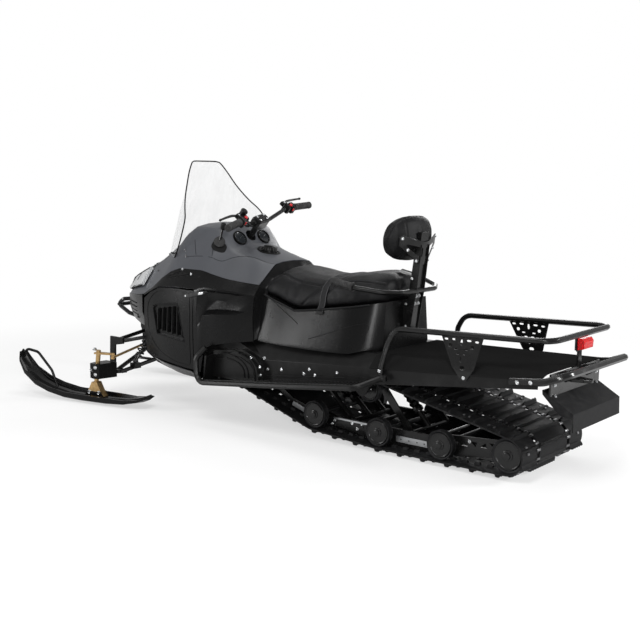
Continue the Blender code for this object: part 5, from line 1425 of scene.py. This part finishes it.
def dress_knee_panels():
    """The intake in the strip over each side panel, dark from a near-black plate of painted shade behind its
    bars, with its two bolts.
    """
    frames, intake_shade, heads = [], [], []
    for side, sign in SIDES.items():
        strip = Skin("knee_panel_" + side)
        corners = ((1.500, 0.737), (1.398, 0.776), (1.330, 0.763), (1.428, 0.742))
        places = []
        for (x, z), (x2, z2) in zip(corners, corners[1:] + corners[:1]):
            places += [(x + (x2 - x) * k / 6, z + (z2 - z) * k / 6, sign) for k in range(6)]
        loop = landings(strip.beside, places)
        frames.append(laid(loop, bead(0.0030, 0.0020, 0.0030), closed=True))
        normal = sum((n for _, n in loop), Vector()).normalized()
        intake_shade.append(plate([p + n * 0.0006 for p, n in loop], normal, 0.0006))
        for i in range(5):
            t = (i + 0.5) / 5
            high = (1.500 - 0.160 * t, 0.739 + 0.020 * t * (1 - t) * 2 + 0.018 * t, sign)
            low = (1.490 - 0.150 * t, 0.739 + 0.058 * t * (1.3 - t), sign)
            ends = landings(strip.beside, (high, low))
            if len(ends) == 2:
                frames.append(tube([p + n * 0.001 for p, n in ends], 0.0013, 6))
        heads += landings(strip.beside, ((1.397, 0.783, sign), (1.322, 0.762, sign)))
    piece("intake_frames", joined(*frames), "moulded black", angle=50)
    piece("intake_shade_plates", joined(*intake_shade), "deep black", angle=50)
    bolts("intake_bolts", heads, radius=0.0042)


# Footwells, tunnel and deck

FOOT_BOLTS = ((0.836, 0.370), (0.833, 0.330), (0.809, 0.317), (0.829, 0.289), (0.718, 0.326))
TUNNEL_BOLTS = (
    (0.895, 0.368), (0.538, 0.351), (0.573, 0.325), (0.502, 0.328), (0.367, 0.357), (0.107, 0.381),
)
TOE_ARCS = (
    ((1.057, 0.400), (0.960, 0.385), (0.899, 0.360), (0.862, 0.322), (0.850, 0.256)),
    ((1.060, 0.376), (0.985, 0.366), (0.932, 0.345), (0.901, 0.312), (0.892, 0.256)),
    ((1.045, 0.352), (0.990, 0.345), (0.950, 0.330), (0.926, 0.304), (0.918, 0.256)),
)


# One tooth of the board's tread: along, up.
TOOTH = (
    (-0.0065, -0.001), (-0.0045, 0.0050), (-0.0025, 0.0022), (0.0, 0.0062),
    (0.0025, 0.0022), (0.0045, 0.0050), (0.0065, -0.001),
)


def dress_footwells():
    for side, sign in SIDES.items():
        board = Skin("running_board_" + side)
        beads = []
        for arc in TOE_ARCS:
            found = landings(board.beside, [(x, z, sign) for x, z in curved(arc, 7)])
            found = [f for f in found if abs(f[0].y) < 0.40]
            if len(found) > 4:
                beads.append(laid(found, bead(0.0045, 0.0028, 0.0045)))
        piece("toe_cover_ribs_" + side, joined(*beads), "moulded black", angle=50)
        teeth = []
        for y, shift in ((0.345, 0.010), (0.372, 0.0), (0.399, 0.010), (0.424, 0.0)):
            for i in range(30):
                landed = board.over(0.180 + i * 0.0215 + shift, y * sign)
                if not landed or landed[1].z < 0.9 or landed[0].z > 0.34:
                    continue
                outline = [landed[0] + Vector((dx, 0, dz)) for dx, dz in TOOTH]
                teeth.append(plate(outline, (0, sign, 0), 0.0028))
        piece("board_teeth_" + side, joined(*teeth), "tunnel coat", angle=30)
        heads = landings(side_skin.beside, [(x, z, sign) for x, z in FOOT_BOLTS + TUNNEL_BOLTS])
        heads = [h for h in heads if abs(h[0].y) < 0.40]
        bolts("tunnel_bolts_" + side, heads, radius=0.0050)
        line = landings(board.over, [(x, 0.4475 * sign) for x in (0.20, 0.40, 0.60, 0.80, 1.00, 1.12)])
        if len(line) > 2:
            pad = laid(line, bead(0.005, 0.004, 0.0012, foot=0.0015))
            piece("board_edge_pad_" + side, joined(pad), "grip", angle=50)


def dress_deck():
    """The bolts of the rack's feet, the rear bumper and the snow flap."""
    rack = Skin("cargo_rack")
    places = [(x, z, sign) for sign in BOTH for x, z in ((-0.328, 0.428), (0.100, 0.405))]
    bolts("rack_bolts", landings(rack.beside, places), radius=0.0052)
    bar = Skin("rear_bumper")
    places = [(x, z, sign) for sign in BOTH for x, z in ((-0.600, 0.4505), (-0.660, 0.4575))]
    heads = landings(bar.beside, places)
    rear = ((-0.20, 0.43), (-0.15, 0.46), (0.15, 0.46), (0.20, 0.43), (-0.06, 0.46), (0.06, 0.46))
    found = landings(bar.ray, [(at(-1.2, y, z), Vector((1, 0, 0))) for y, z in rear])
    heads += [f for f in found if f[0].x - STATION_ZERO > -0.72]
    bolts("bumper_bolts", heads, radius=0.0055)
    places = [(-0.700, y) for y in (-0.200, 0.200)]
    bolts("flap_bolts", landings(Skin("snow_flap").over, places), radius=0.0048)


# Running gear

# The outer wheels: station, height, radius.
WHEELS = (
    (0.546, 0.119, 0.066), (0.162, 0.094, 0.066), (-0.181, 0.094, 0.066),
    (-0.522, 0.109, 0.076), (0.215, 0.288, 0.056),
)
# Profiles of a wheel's hub and of its lip: distance out from its face, share of its radius.
HUB = (
    (-0.0105, 0.40), (-0.006, 0.38), (-0.004, 0.33), (0.001, 0.32), (0.003, 0.28),
    (0.003, 0.22), (0.007, 0.20), (0.0085, 0.16), (0.0085, 0.04),
)
LIP = ((-0.0105, 0.70), (-0.004, 0.71), (-0.001, 0.745), (0.0004, 0.79), (0.0004, 0.83), (-0.002, 0.86))


def dress_wheels():
    """Ringed discs with five pockets, a capped hub and the tyre's two shoulders."""
    webs, rings, tyres = [], [], []
    for x, z, radius in WHEELS:
        for sign in BOTH:
            out = Vector((0, sign, 0))
            face = at(x, 0.263 * sign, z)
            for profile in (HUB, LIP):
                rings.append(turned([(along, share * radius) for along, share in profile], face, out, 32))
            for k in range(5):
                turn = 2 * math.pi * k / 5 + 0.3
                way = Vector((math.cos(turn), 0, math.sin(turn)))
                middle = face + way * radius * 0.55 - out * 0.0105
                size = (radius * 0.13, radius * 0.20, 0.0050)
                webs.append(oblong(middle, way.cross(out), way, out, *size, 0.4, 16))
            for depth in (-0.0015, -0.0325):
                middle = face + out * depth
                ring = [middle + Vector((a, 0, b)) for a, b in circle(radius * 0.9905, 40)]
                tyres.append(tube(ring, 0.0022, 6, closed=True, up=out))
    piece("wheel_webs", joined(*webs), "wheel rubber", angle=40)
    piece("wheel_rings", joined(*rings), "satin black", angle=40)
    piece("tyre_shoulders", joined(*tyres), "wheel rubber", angle=50)


# What the belt runs round, in the order in which it meets it: station, height, radius.
BELT_WHEELS = (
    (-0.522, 0.109, 0.077), (-0.181, 0.094, 0.067), (0.162, 0.094, 0.067), (0.546, 0.119, 0.067),
    (1.100, 0.305, 0.073), (0.215, 0.288, 0.057),
)
BELT_HALF, BELT_THICK = 0.285, 0.007
WINDOW_IN, WINDOW_OUT = 0.130, 0.154
# Clips: distance out, half their width. The second sits on every other row alone.
CLIPS = ((0.142, 0.015), (0.236, 0.007))


def belt_runs():
    """The belt's path: its arcs and straight runs, each with its length."""
    joins, runs = [], []
    for i, (x0, z0, r0) in enumerate(BELT_WHEELS):
        x1, z1, r1 = BELT_WHEELS[(i + 1) % len(BELT_WHEELS)]
        run = math.hypot(x1 - x0, z1 - z0)
        lean = math.asin((r0 - r1) / run)
        joins.append((math.atan2(z1 - z0, x1 - x0) - math.pi / 2 + lean, run * math.cos(lean)))
    for i, (x, z, r) in enumerate(BELT_WHEELS):
        start, length = joins[i]
        before = joins[i - 1][0]
        sweep = (start - before) % (2 * math.pi)
        runs.append((r * sweep, x, z, r, before, 1.0 / r))
        runs.append((length, x, z, r, start, 0.0))
    return runs


BELT_RUNS = belt_runs()
BELT_LENGTH = sum(run[0] for run in BELT_RUNS)
LUG_ROWS = round(BELT_LENGTH / 0.064)
LUG_PITCH = BELT_LENGTH / LUG_ROWS


def on_belt(distance, y, rise):
    """A point of the belt: how far along, how far out, how high over its inner face."""
    distance %= BELT_LENGTH
    for length, x, z, r, start, bend in BELT_RUNS:
        if distance <= length:
            break
        distance -= length
    turn = start + distance * bend
    on = 0.0 if bend else distance
    reach = r + rise
    c, s = math.cos(turn), math.sin(turn)
    return at(x + reach * c - on * s, y, z + reach * s + on * c)


def lug(distance, low, high, height):
    """One paddle of a row, with a scalloped crest and a foot spread on the belt."""
    count = max(3, round((high - low) / 0.011))
    rings = []
    for i in range(count + 1):
        y = low + (high - low) * i / count
        end = 0.55 if i in (0, count) else 1.0
        crest = height * end * (1.0 if i % 2 else 0.84)
        before = ((-0.010, -0.001), (-0.0055, crest * 0.30), (-0.0030, crest))
        after = [(-along, rise) for along, rise in reversed(before)]
        rings.append([on_belt(distance + along, y, BELT_THICK + rise) for along, rise in (*before, *after)])
    return loft(rings)


def clip(distance, y, half):
    """A steel clip folded over the belt."""
    ring = (
        (-half, -0.001), (-half, 0.0035), (-half * 0.6, 0.0062),
        (half * 0.6, 0.0062), (half, 0.0035), (half, -0.001),
    )
    rows = []
    for along, grow in ((-0.0045, 0.7), (-0.0025, 1.0), (0.0025, 1.0), (0.0045, 0.7)):
        rows.append([on_belt(distance + along, y + a, BELT_THICK + rise * grow) for a, rise in ring])
    return loft(rows)


def rung(distance, sign):
    """One of the belt's bars between two windows."""
    low, high = WINDOW_IN - 0.002, WINDOW_OUT + 0.002
    corners = ((low, 0.0005), (high, 0.0005), (high, 0.0068), (low, 0.0068))
    rows = []
    for along in (-0.020, -0.007, 0.007, 0.020):
        rows.append([on_belt(distance + along, y * sign, rise) for y, rise in corners])
    return loft(rows)


def driver(distance, sign):
    """One inner tooth of the belt."""
    rows = []
    for along, grow in ((-0.013, 0.8), (-0.010, 1.0), (0.010, 1.0), (0.013, 0.8)):
        corners = ((0.205, 0.001), (0.225, 0.001), (0.221, -0.010 * grow), (0.209, -0.010 * grow))
        rows.append([on_belt(distance + along, y * sign, rise) for y, rise in corners])
    return loft(rows)


def dress_track():
    """The belt with its windows, staggered lugs, steel clips and inner drivers, all round the loop."""
    steps = LUG_ROWS * 5
    bands = []
    for low, high in ((-BELT_HALF, -WINDOW_OUT), (-WINDOW_IN, WINDOW_IN), (WINDOW_OUT, BELT_HALF)):
        corners = ((low, 0.0), (high, 0.0), (high, BELT_THICK), (low, BELT_THICK))
        rings = []
        for i in range(steps):
            rings.append([on_belt(i * BELT_LENGTH / steps, y, rise) for y, rise in corners])
        bands.append(loft(rings, round_again=True))
    lugs, clips, drivers = [], [], []
    for i in range(LUG_ROWS):
        middle = (i + 0.19) * LUG_PITCH
        side, centre = (0.020, 0.008) if i % 2 == 0 else (0.008, 0.020)
        lugs.append(lug(middle, -0.128, 0.128, centre))
        for sign in BOTH:
            low, high = sorted((0.158 * sign, 0.283 * sign))
            lugs.append(lug(middle, low, high, side))
            bands.append(rung(middle, sign))
            wanted = CLIPS if i % 2 else CLIPS[:1]
            for y, half in wanted:
                clips += [clip(middle + along, y * sign, half) for along in (-0.0135, 0.0135)]
            drivers.append(driver(middle, sign))
    track = piece("track_belt", joined(*bands), "track rubber", angle=40)
    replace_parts(track, "track")
    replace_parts(piece("track_lugs", joined(*lugs), "track rubber", angle=35), "track")
    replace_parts(piece("track_drivers", joined(*drivers), "track rubber", angle=35), "track")
    piece("track_clips", joined(*clips), "dull clips", angle=40)


# The slide rails' outer face, and what sits on it: station, height.
RAIL_FACE = 0.1975
RAIL_STRIPS = (
    ((0.100, 0.049), (0.100, 0.079), (-0.108, 0.079), (-0.108, 0.049)),
    ((0.745, 0.125), (0.735, 0.147), (0.640, 0.116), (0.640, 0.092)),
)
RAIL_BOLTS = (
    (0.521, 0.100), (0.468, 0.090), (0.483, 0.071), (0.328, 0.068), (0.250, 0.096),
    (0.300, 0.096), (0.360, 0.092), (-0.30, 0.120), (-0.46, 0.118),
)


def dress_rails():
    """Bright strips on the slide rails, near-black dots on them as painted shade in their holes, the rails'
    bright edge and their bolts.
    """
    rails = Skin("slide_frame")
    edges, strips, holes, heads = [], [], [], []
    for sign in BOTH:
        found = landings(rails.beside, [(x, 0.102, sign) for x in (0.235, 0.30, 0.36, 0.42, 0.475)])
        found = [f for f in found if abs(f[0].y) < 0.215]
        if len(found) > 2:
            edges.append(laid(found, bead(0.0045, 0.0040, 0.0016)))
        for corners in RAIL_STRIPS:
            strips.append(plate([at(x, RAIL_FACE * sign, z) for x, z in corners], (0, sign, 0), 0.0025))
        for x in (0.070, 0.025, -0.020, -0.060):
            start = at(x, RAIL_FACE * sign, 0.064)
            holes.append(turned(((0.0, 0.0036), (0.0028, 0.0036)), start, (0, sign, 0), 14))
        heads += landings(rails.beside, [(x, z, sign) for x, z in RAIL_BOLTS])
    piece("rail_edges", joined(*edges), "rail alloy", angle=40)
    piece("rail_strips", joined(*strips), "rail alloy", rounding=0.0005)
    piece("rail_hole_shade", joined(*holes), "deep black", angle=40)
    bolts("rail_bolts", [h for h in heads if abs(h[0].y) < 0.22], radius=0.0050)


def dress_shocks():
    """Coil-over dampers: the body, the spring between its collars, and the eyes at both ends."""
    for side, sign in SIDES.items():
        top, foot = at(1.785, 0.180 * sign, 0.443), at(1.825, 0.311 * sign, 0.227)
        way = (foot - top).normalized()
        length = (foot - top).length
        body = (
            (0.0, 0.009), (0.014, 0.0095), (0.016, 0.021), (0.026, 0.021), (0.028, 0.0145),
            (length * 0.55, 0.0145), (length * 0.56, 0.0155), (length * 0.60, 0.0155),
            (length * 0.61, 0.0060),
            (length - 0.050, 0.0060), (length - 0.048, 0.020), (length - 0.036, 0.020),
            (length - 0.034, 0.010), (length - 0.001, 0.009),
        )
        across = Vector((1, 0, 0)).cross(way).normalized()
        other = way.cross(across)
        coil = []
        turns, steps = 7, 14
        for k in range(turns * steps + 1):
            turn = 2 * math.pi * k / steps
            along = 0.028 + (length - 0.080) * k / (turns * steps)
            coil.append(top + way * along + (across * math.cos(turn) + other * math.sin(turn)) * 0.0215)
        damper = piece("damper_" + side, turned(body, top, way, 20), "satin black", angle=40)
        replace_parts(damper, "front_shock_" + side)
        spring = tube(coil, 0.0040, 8)
        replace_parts(piece("spring_" + side, spring, "spring black", angle=60), "front_shock_" + side)
        ends = (top + way * 0.004, foot - way * 0.006)
        eyes = [turned(((-0.015, 0.009), (0.015, 0.009)), p, (1, 0, 0), 16) for p in ends]
        piece("damper_eyes_" + side, joined(*eyes), "cast", rounding=0.0008)


# The skis' pivots: station, distance out. Lines on a ski: distance ahead of its pivot, height.
SKI_STATION, SKI_OUT = 1.977, 0.467
WEAR_BAR = (
    (0.275, 0.026), (0.230, 0.012), (0.150, 0.0042), (0.050, 0.0038),
    (-0.080, 0.0038), (-0.150, 0.0055), (-0.190, 0.012),
)
SKI_RIB = (
    (0.470, 0.124), (0.400, 0.088), (0.300, 0.057), (0.180, 0.036),
    (0.050, 0.0318), (-0.120, 0.0318), (-0.230, 0.036), (-0.310, 0.050),
)
SADDLE = ((-0.066, 0.040), (0.066, 0.040), (0.050, 0.066), (-0.050, 0.066))


def steered(side):
    """The turn of a ski with its spindle, from straight ahead to where it stands."""
    pivot = at(SKI_STATION, SKI_OUT * SIDES[side], 0.10)
    lean = Matrix.Rotation(-CASTER, 4, "Y")
    turn = lean @ Matrix.Rotation(TURN, 4, "Z") @ lean.inverted()
    return Matrix.Translation(pivot) @ turn @ Matrix.Translation(-pivot)


def dress_skis():
    for side, sign in SIDES.items():
        body = "ski_assembly_" + side
        turn = steered(side)

        def on_ski(ahead, out, z):
            return at(SKI_STATION + ahead, SKI_OUT * sign + out, z)

        def ski_piece(name, shape, finish, **more):
            return piece(name + side, moved(shape, turn), finish, body, **more)

        runner = flowing([on_ski(ahead, 0.0, z) for ahead, z in WEAR_BAR], 4)
        ski_piece("wear_bar_", tube(runner, 0.0030, 8), "bright steel", angle=60)
        edges = []
        for out in (0.045, -0.045):
            path = flowing([on_ski(ahead, out, z) for ahead, z in SKI_RIB], 5)
            edges.append(swept(path, bead(0.004, 0.0028, 0.0032, foot=0.003)))
        ski_piece("ski_ribs_", joined(*edges), "moulded black", angle=50)
        hubs = []
        for ahead in (-0.034, 0.034):
            hubs += [bolt(on_ski(ahead, 0.020 * s, 0.058), (0, s, 0), 0.0085) for s in BOTH]
        hubs.append(bolt(on_ski(-0.0015, 0.0, 0.3005), (-0.139, 0, 0.99), 0.0090))
        ski_piece("ski_bolts_", joined(*hubs), "bright steel")
        cheeks = []
        for s in BOTH:
            outline = [on_ski(ahead, 0.0205 * s, z) for ahead, z in SADDLE]
            cheeks.append(plate(outline, (0, s, 0), 0.0040))
        ski_piece("saddle_cheeks_", joined(*cheeks), "satin black", rounding=0.001)


def dress_front():
    """Cowl slots as near-black beads of painted shade, and the bolts of the knuckles, the front bumper and
    the hood.
    """
    cowl = Skin("nose_cowl")
    slots = []
    for sign in BOTH:
        for i in range(4):
            places = [(x, 0.500 + 0.022 * i, sign) for x in (1.80, 1.84, 1.88, 1.92)]
            found = landings(cowl.beside, places)
            if len(found) == 4:
                slots.append(laid(found, bead(0.004, 0.003, 0.0026)))
    piece("cowl_slot_shade", joined(*slots), "deep black", angle=50)
    heads = []
    for side, sign in SIDES.items():
        places = ((1.945, 0.165, sign), (1.945, 0.205, sign), (1.985, 0.185, sign))
        heads += landings(Skin("knuckle_" + side).beside, places)
    bolts("knuckle_bolts", heads, radius=0.0062)
    back = Vector((-1, 0, 0))
    places = [(at(2.6, y, 0.512), back) for y in (0.147, 0.0735, -0.0735, -0.147)]
    bolts("front_bumper_bolts", landings(Skin("front_bumper").ray, places), radius=0.0050)
    places = [(x, 0.752, sign) for sign in BOTH for x in (1.66, 1.46, 1.26)]
    bolts("hood_screws", landings(body_skin.beside, places), radius=0.0036, finish="satin black")


dress_screen()
dress_lamps()
dress_controls()
dress_hood()
dress_dials()
dress_console()
dress_doors()
dress_knee_panels()
dress_footwells()
dress_deck()
dress_wheels()
dress_track()
dress_rails()
dress_shocks()
dress_skis()
dress_front()


# Studio


def seen_rays(graph, glossy):
    """1 for what the camera sees or sees through, and a share of it in reflections."""
    camera = graph.node("LightPath", output="Is Camera Ray")
    shiny = graph.node("LightPath", output="Is Glossy Ray") * glossy
    through = graph.node("LightPath", output="Is Transmission Ray")
    return camera.math("MAXIMUM", shiny).math("MAXIMUM", through)


def lay_floor():
    """A pale floor that keeps the shadow and turns white away from the machine."""
    shape = bmesh.new()
    bmesh.ops.create_grid(shape, x_segments=8, y_segments=8, size=14.0)
    mesh = bpy.data.meshes.new("floor")
    shape.to_mesh(mesh)
    shape.free()
    floor = bpy.data.objects.new("floor", mesh)
    floor.location = (0, 0, -0.0012)
    bpy.context.scene.collection.objects.link(floor)
    finish = Finish("studio_floor", Roughness=0.9, Specular_IOR_Level=0.0)
    speck = finish.mottle(0.5, 2.0)
    finish.coloured(finish.shade((0.80, 0.80, 0.80), (0.84, 0.84, 0.84), speck))
    away = finish.node("VectorMath", {"operation": "LENGTH"}, {0: finish.place}, 1).between(2.0, 4.2)
    white = finish.node("Emission", sockets={"Strength": 1.0})
    lit = Value(finish, finish.shader.outputs[0])
    share = seen_rays(finish, 0.5) * (away * 0.45 + 0.55)
    mixed = finish.node("MixShader", sockets={0: share, 1: lit, 2: white})
    finish.feed(finish.tree.nodes["Material Output"].inputs["Surface"], mixed)
    mesh.materials.append(finish.material)


def surround():
    """White where it is seen, and dim as a light."""
    world = bpy.data.worlds.new("white_studio")
    bpy.context.scene.world = world
    world.use_nodes = True
    graph = Graph(world.node_tree)
    back = world.node_tree.nodes["Background"]
    back.inputs["Color"].default_value = (1, 1, 1, 1)
    graph.feed(back.inputs["Strength"], seen_rays(graph, 0.35) * 0.75 + 0.25)


def lamps():
    aim = Vector((0.0, 0.0, 0.5))
    for name, place, size, power in (
        ("key", (-1.6, 3.2, 4.2), 2.2, 140),
        ("top", (0.6, -0.4, 4.4), 2.6, 62),
        ("rear", (-4.4, -2.2, 1.9), 1.2, 150),
        ("shoulder", (-4.6, 4.4, 1.7), 0.8, 165),
        ("right", (1.0, -4.4, 2.6), 2.4, 70),
        ("nose", (3.9, 3.6, 1.5), 1.3, 110),
    ):
        light = bpy.data.lights.new(name, "AREA")
        light.shape = "DISK"
        light.size = size
        light.energy = power
        lamp = bpy.data.objects.new(name, light)
        lamp.location = place
        lamp.rotation_euler = (aim - Vector(place)).to_track_quat("-Z", "Y").to_euler()
        bpy.context.scene.collection.objects.link(lamp)


def photo_camera():
    """The photograph's place and angle: behind the machine, to its left."""
    yaw, pitch, roll = math.radians(50.57), math.radians(8.33), math.radians(0.41)
    ahead = Vector((math.cos(yaw) * math.cos(pitch), -math.sin(yaw) * math.cos(pitch), -math.sin(pitch)))
    level_right = Vector((-math.sin(yaw), -math.cos(yaw), 0.0))
    upright = level_right.cross(ahead)
    right = level_right * math.cos(roll) + upright * math.sin(roll)
    up = upright * math.cos(roll) - level_right * math.sin(roll)
    data = bpy.data.cameras.new("photo")
    data.sensor_width = 36.0
    data.lens = 36.0 * 1005.1 / 640.0
    camera = bpy.data.objects.new("photo", data)
    turn = Matrix((right, up, -ahead)).transposed().to_4x4()
    camera.matrix_world = Matrix.Translation(at(-2.532, 3.965, 1.292)) @ turn
    bpy.context.scene.collection.objects.link(camera)
    bpy.context.scene.camera = camera


lay_floor()
surround()
lamps()
photo_camera()
bpy.context.scene.view_settings.view_transform = "Standard"
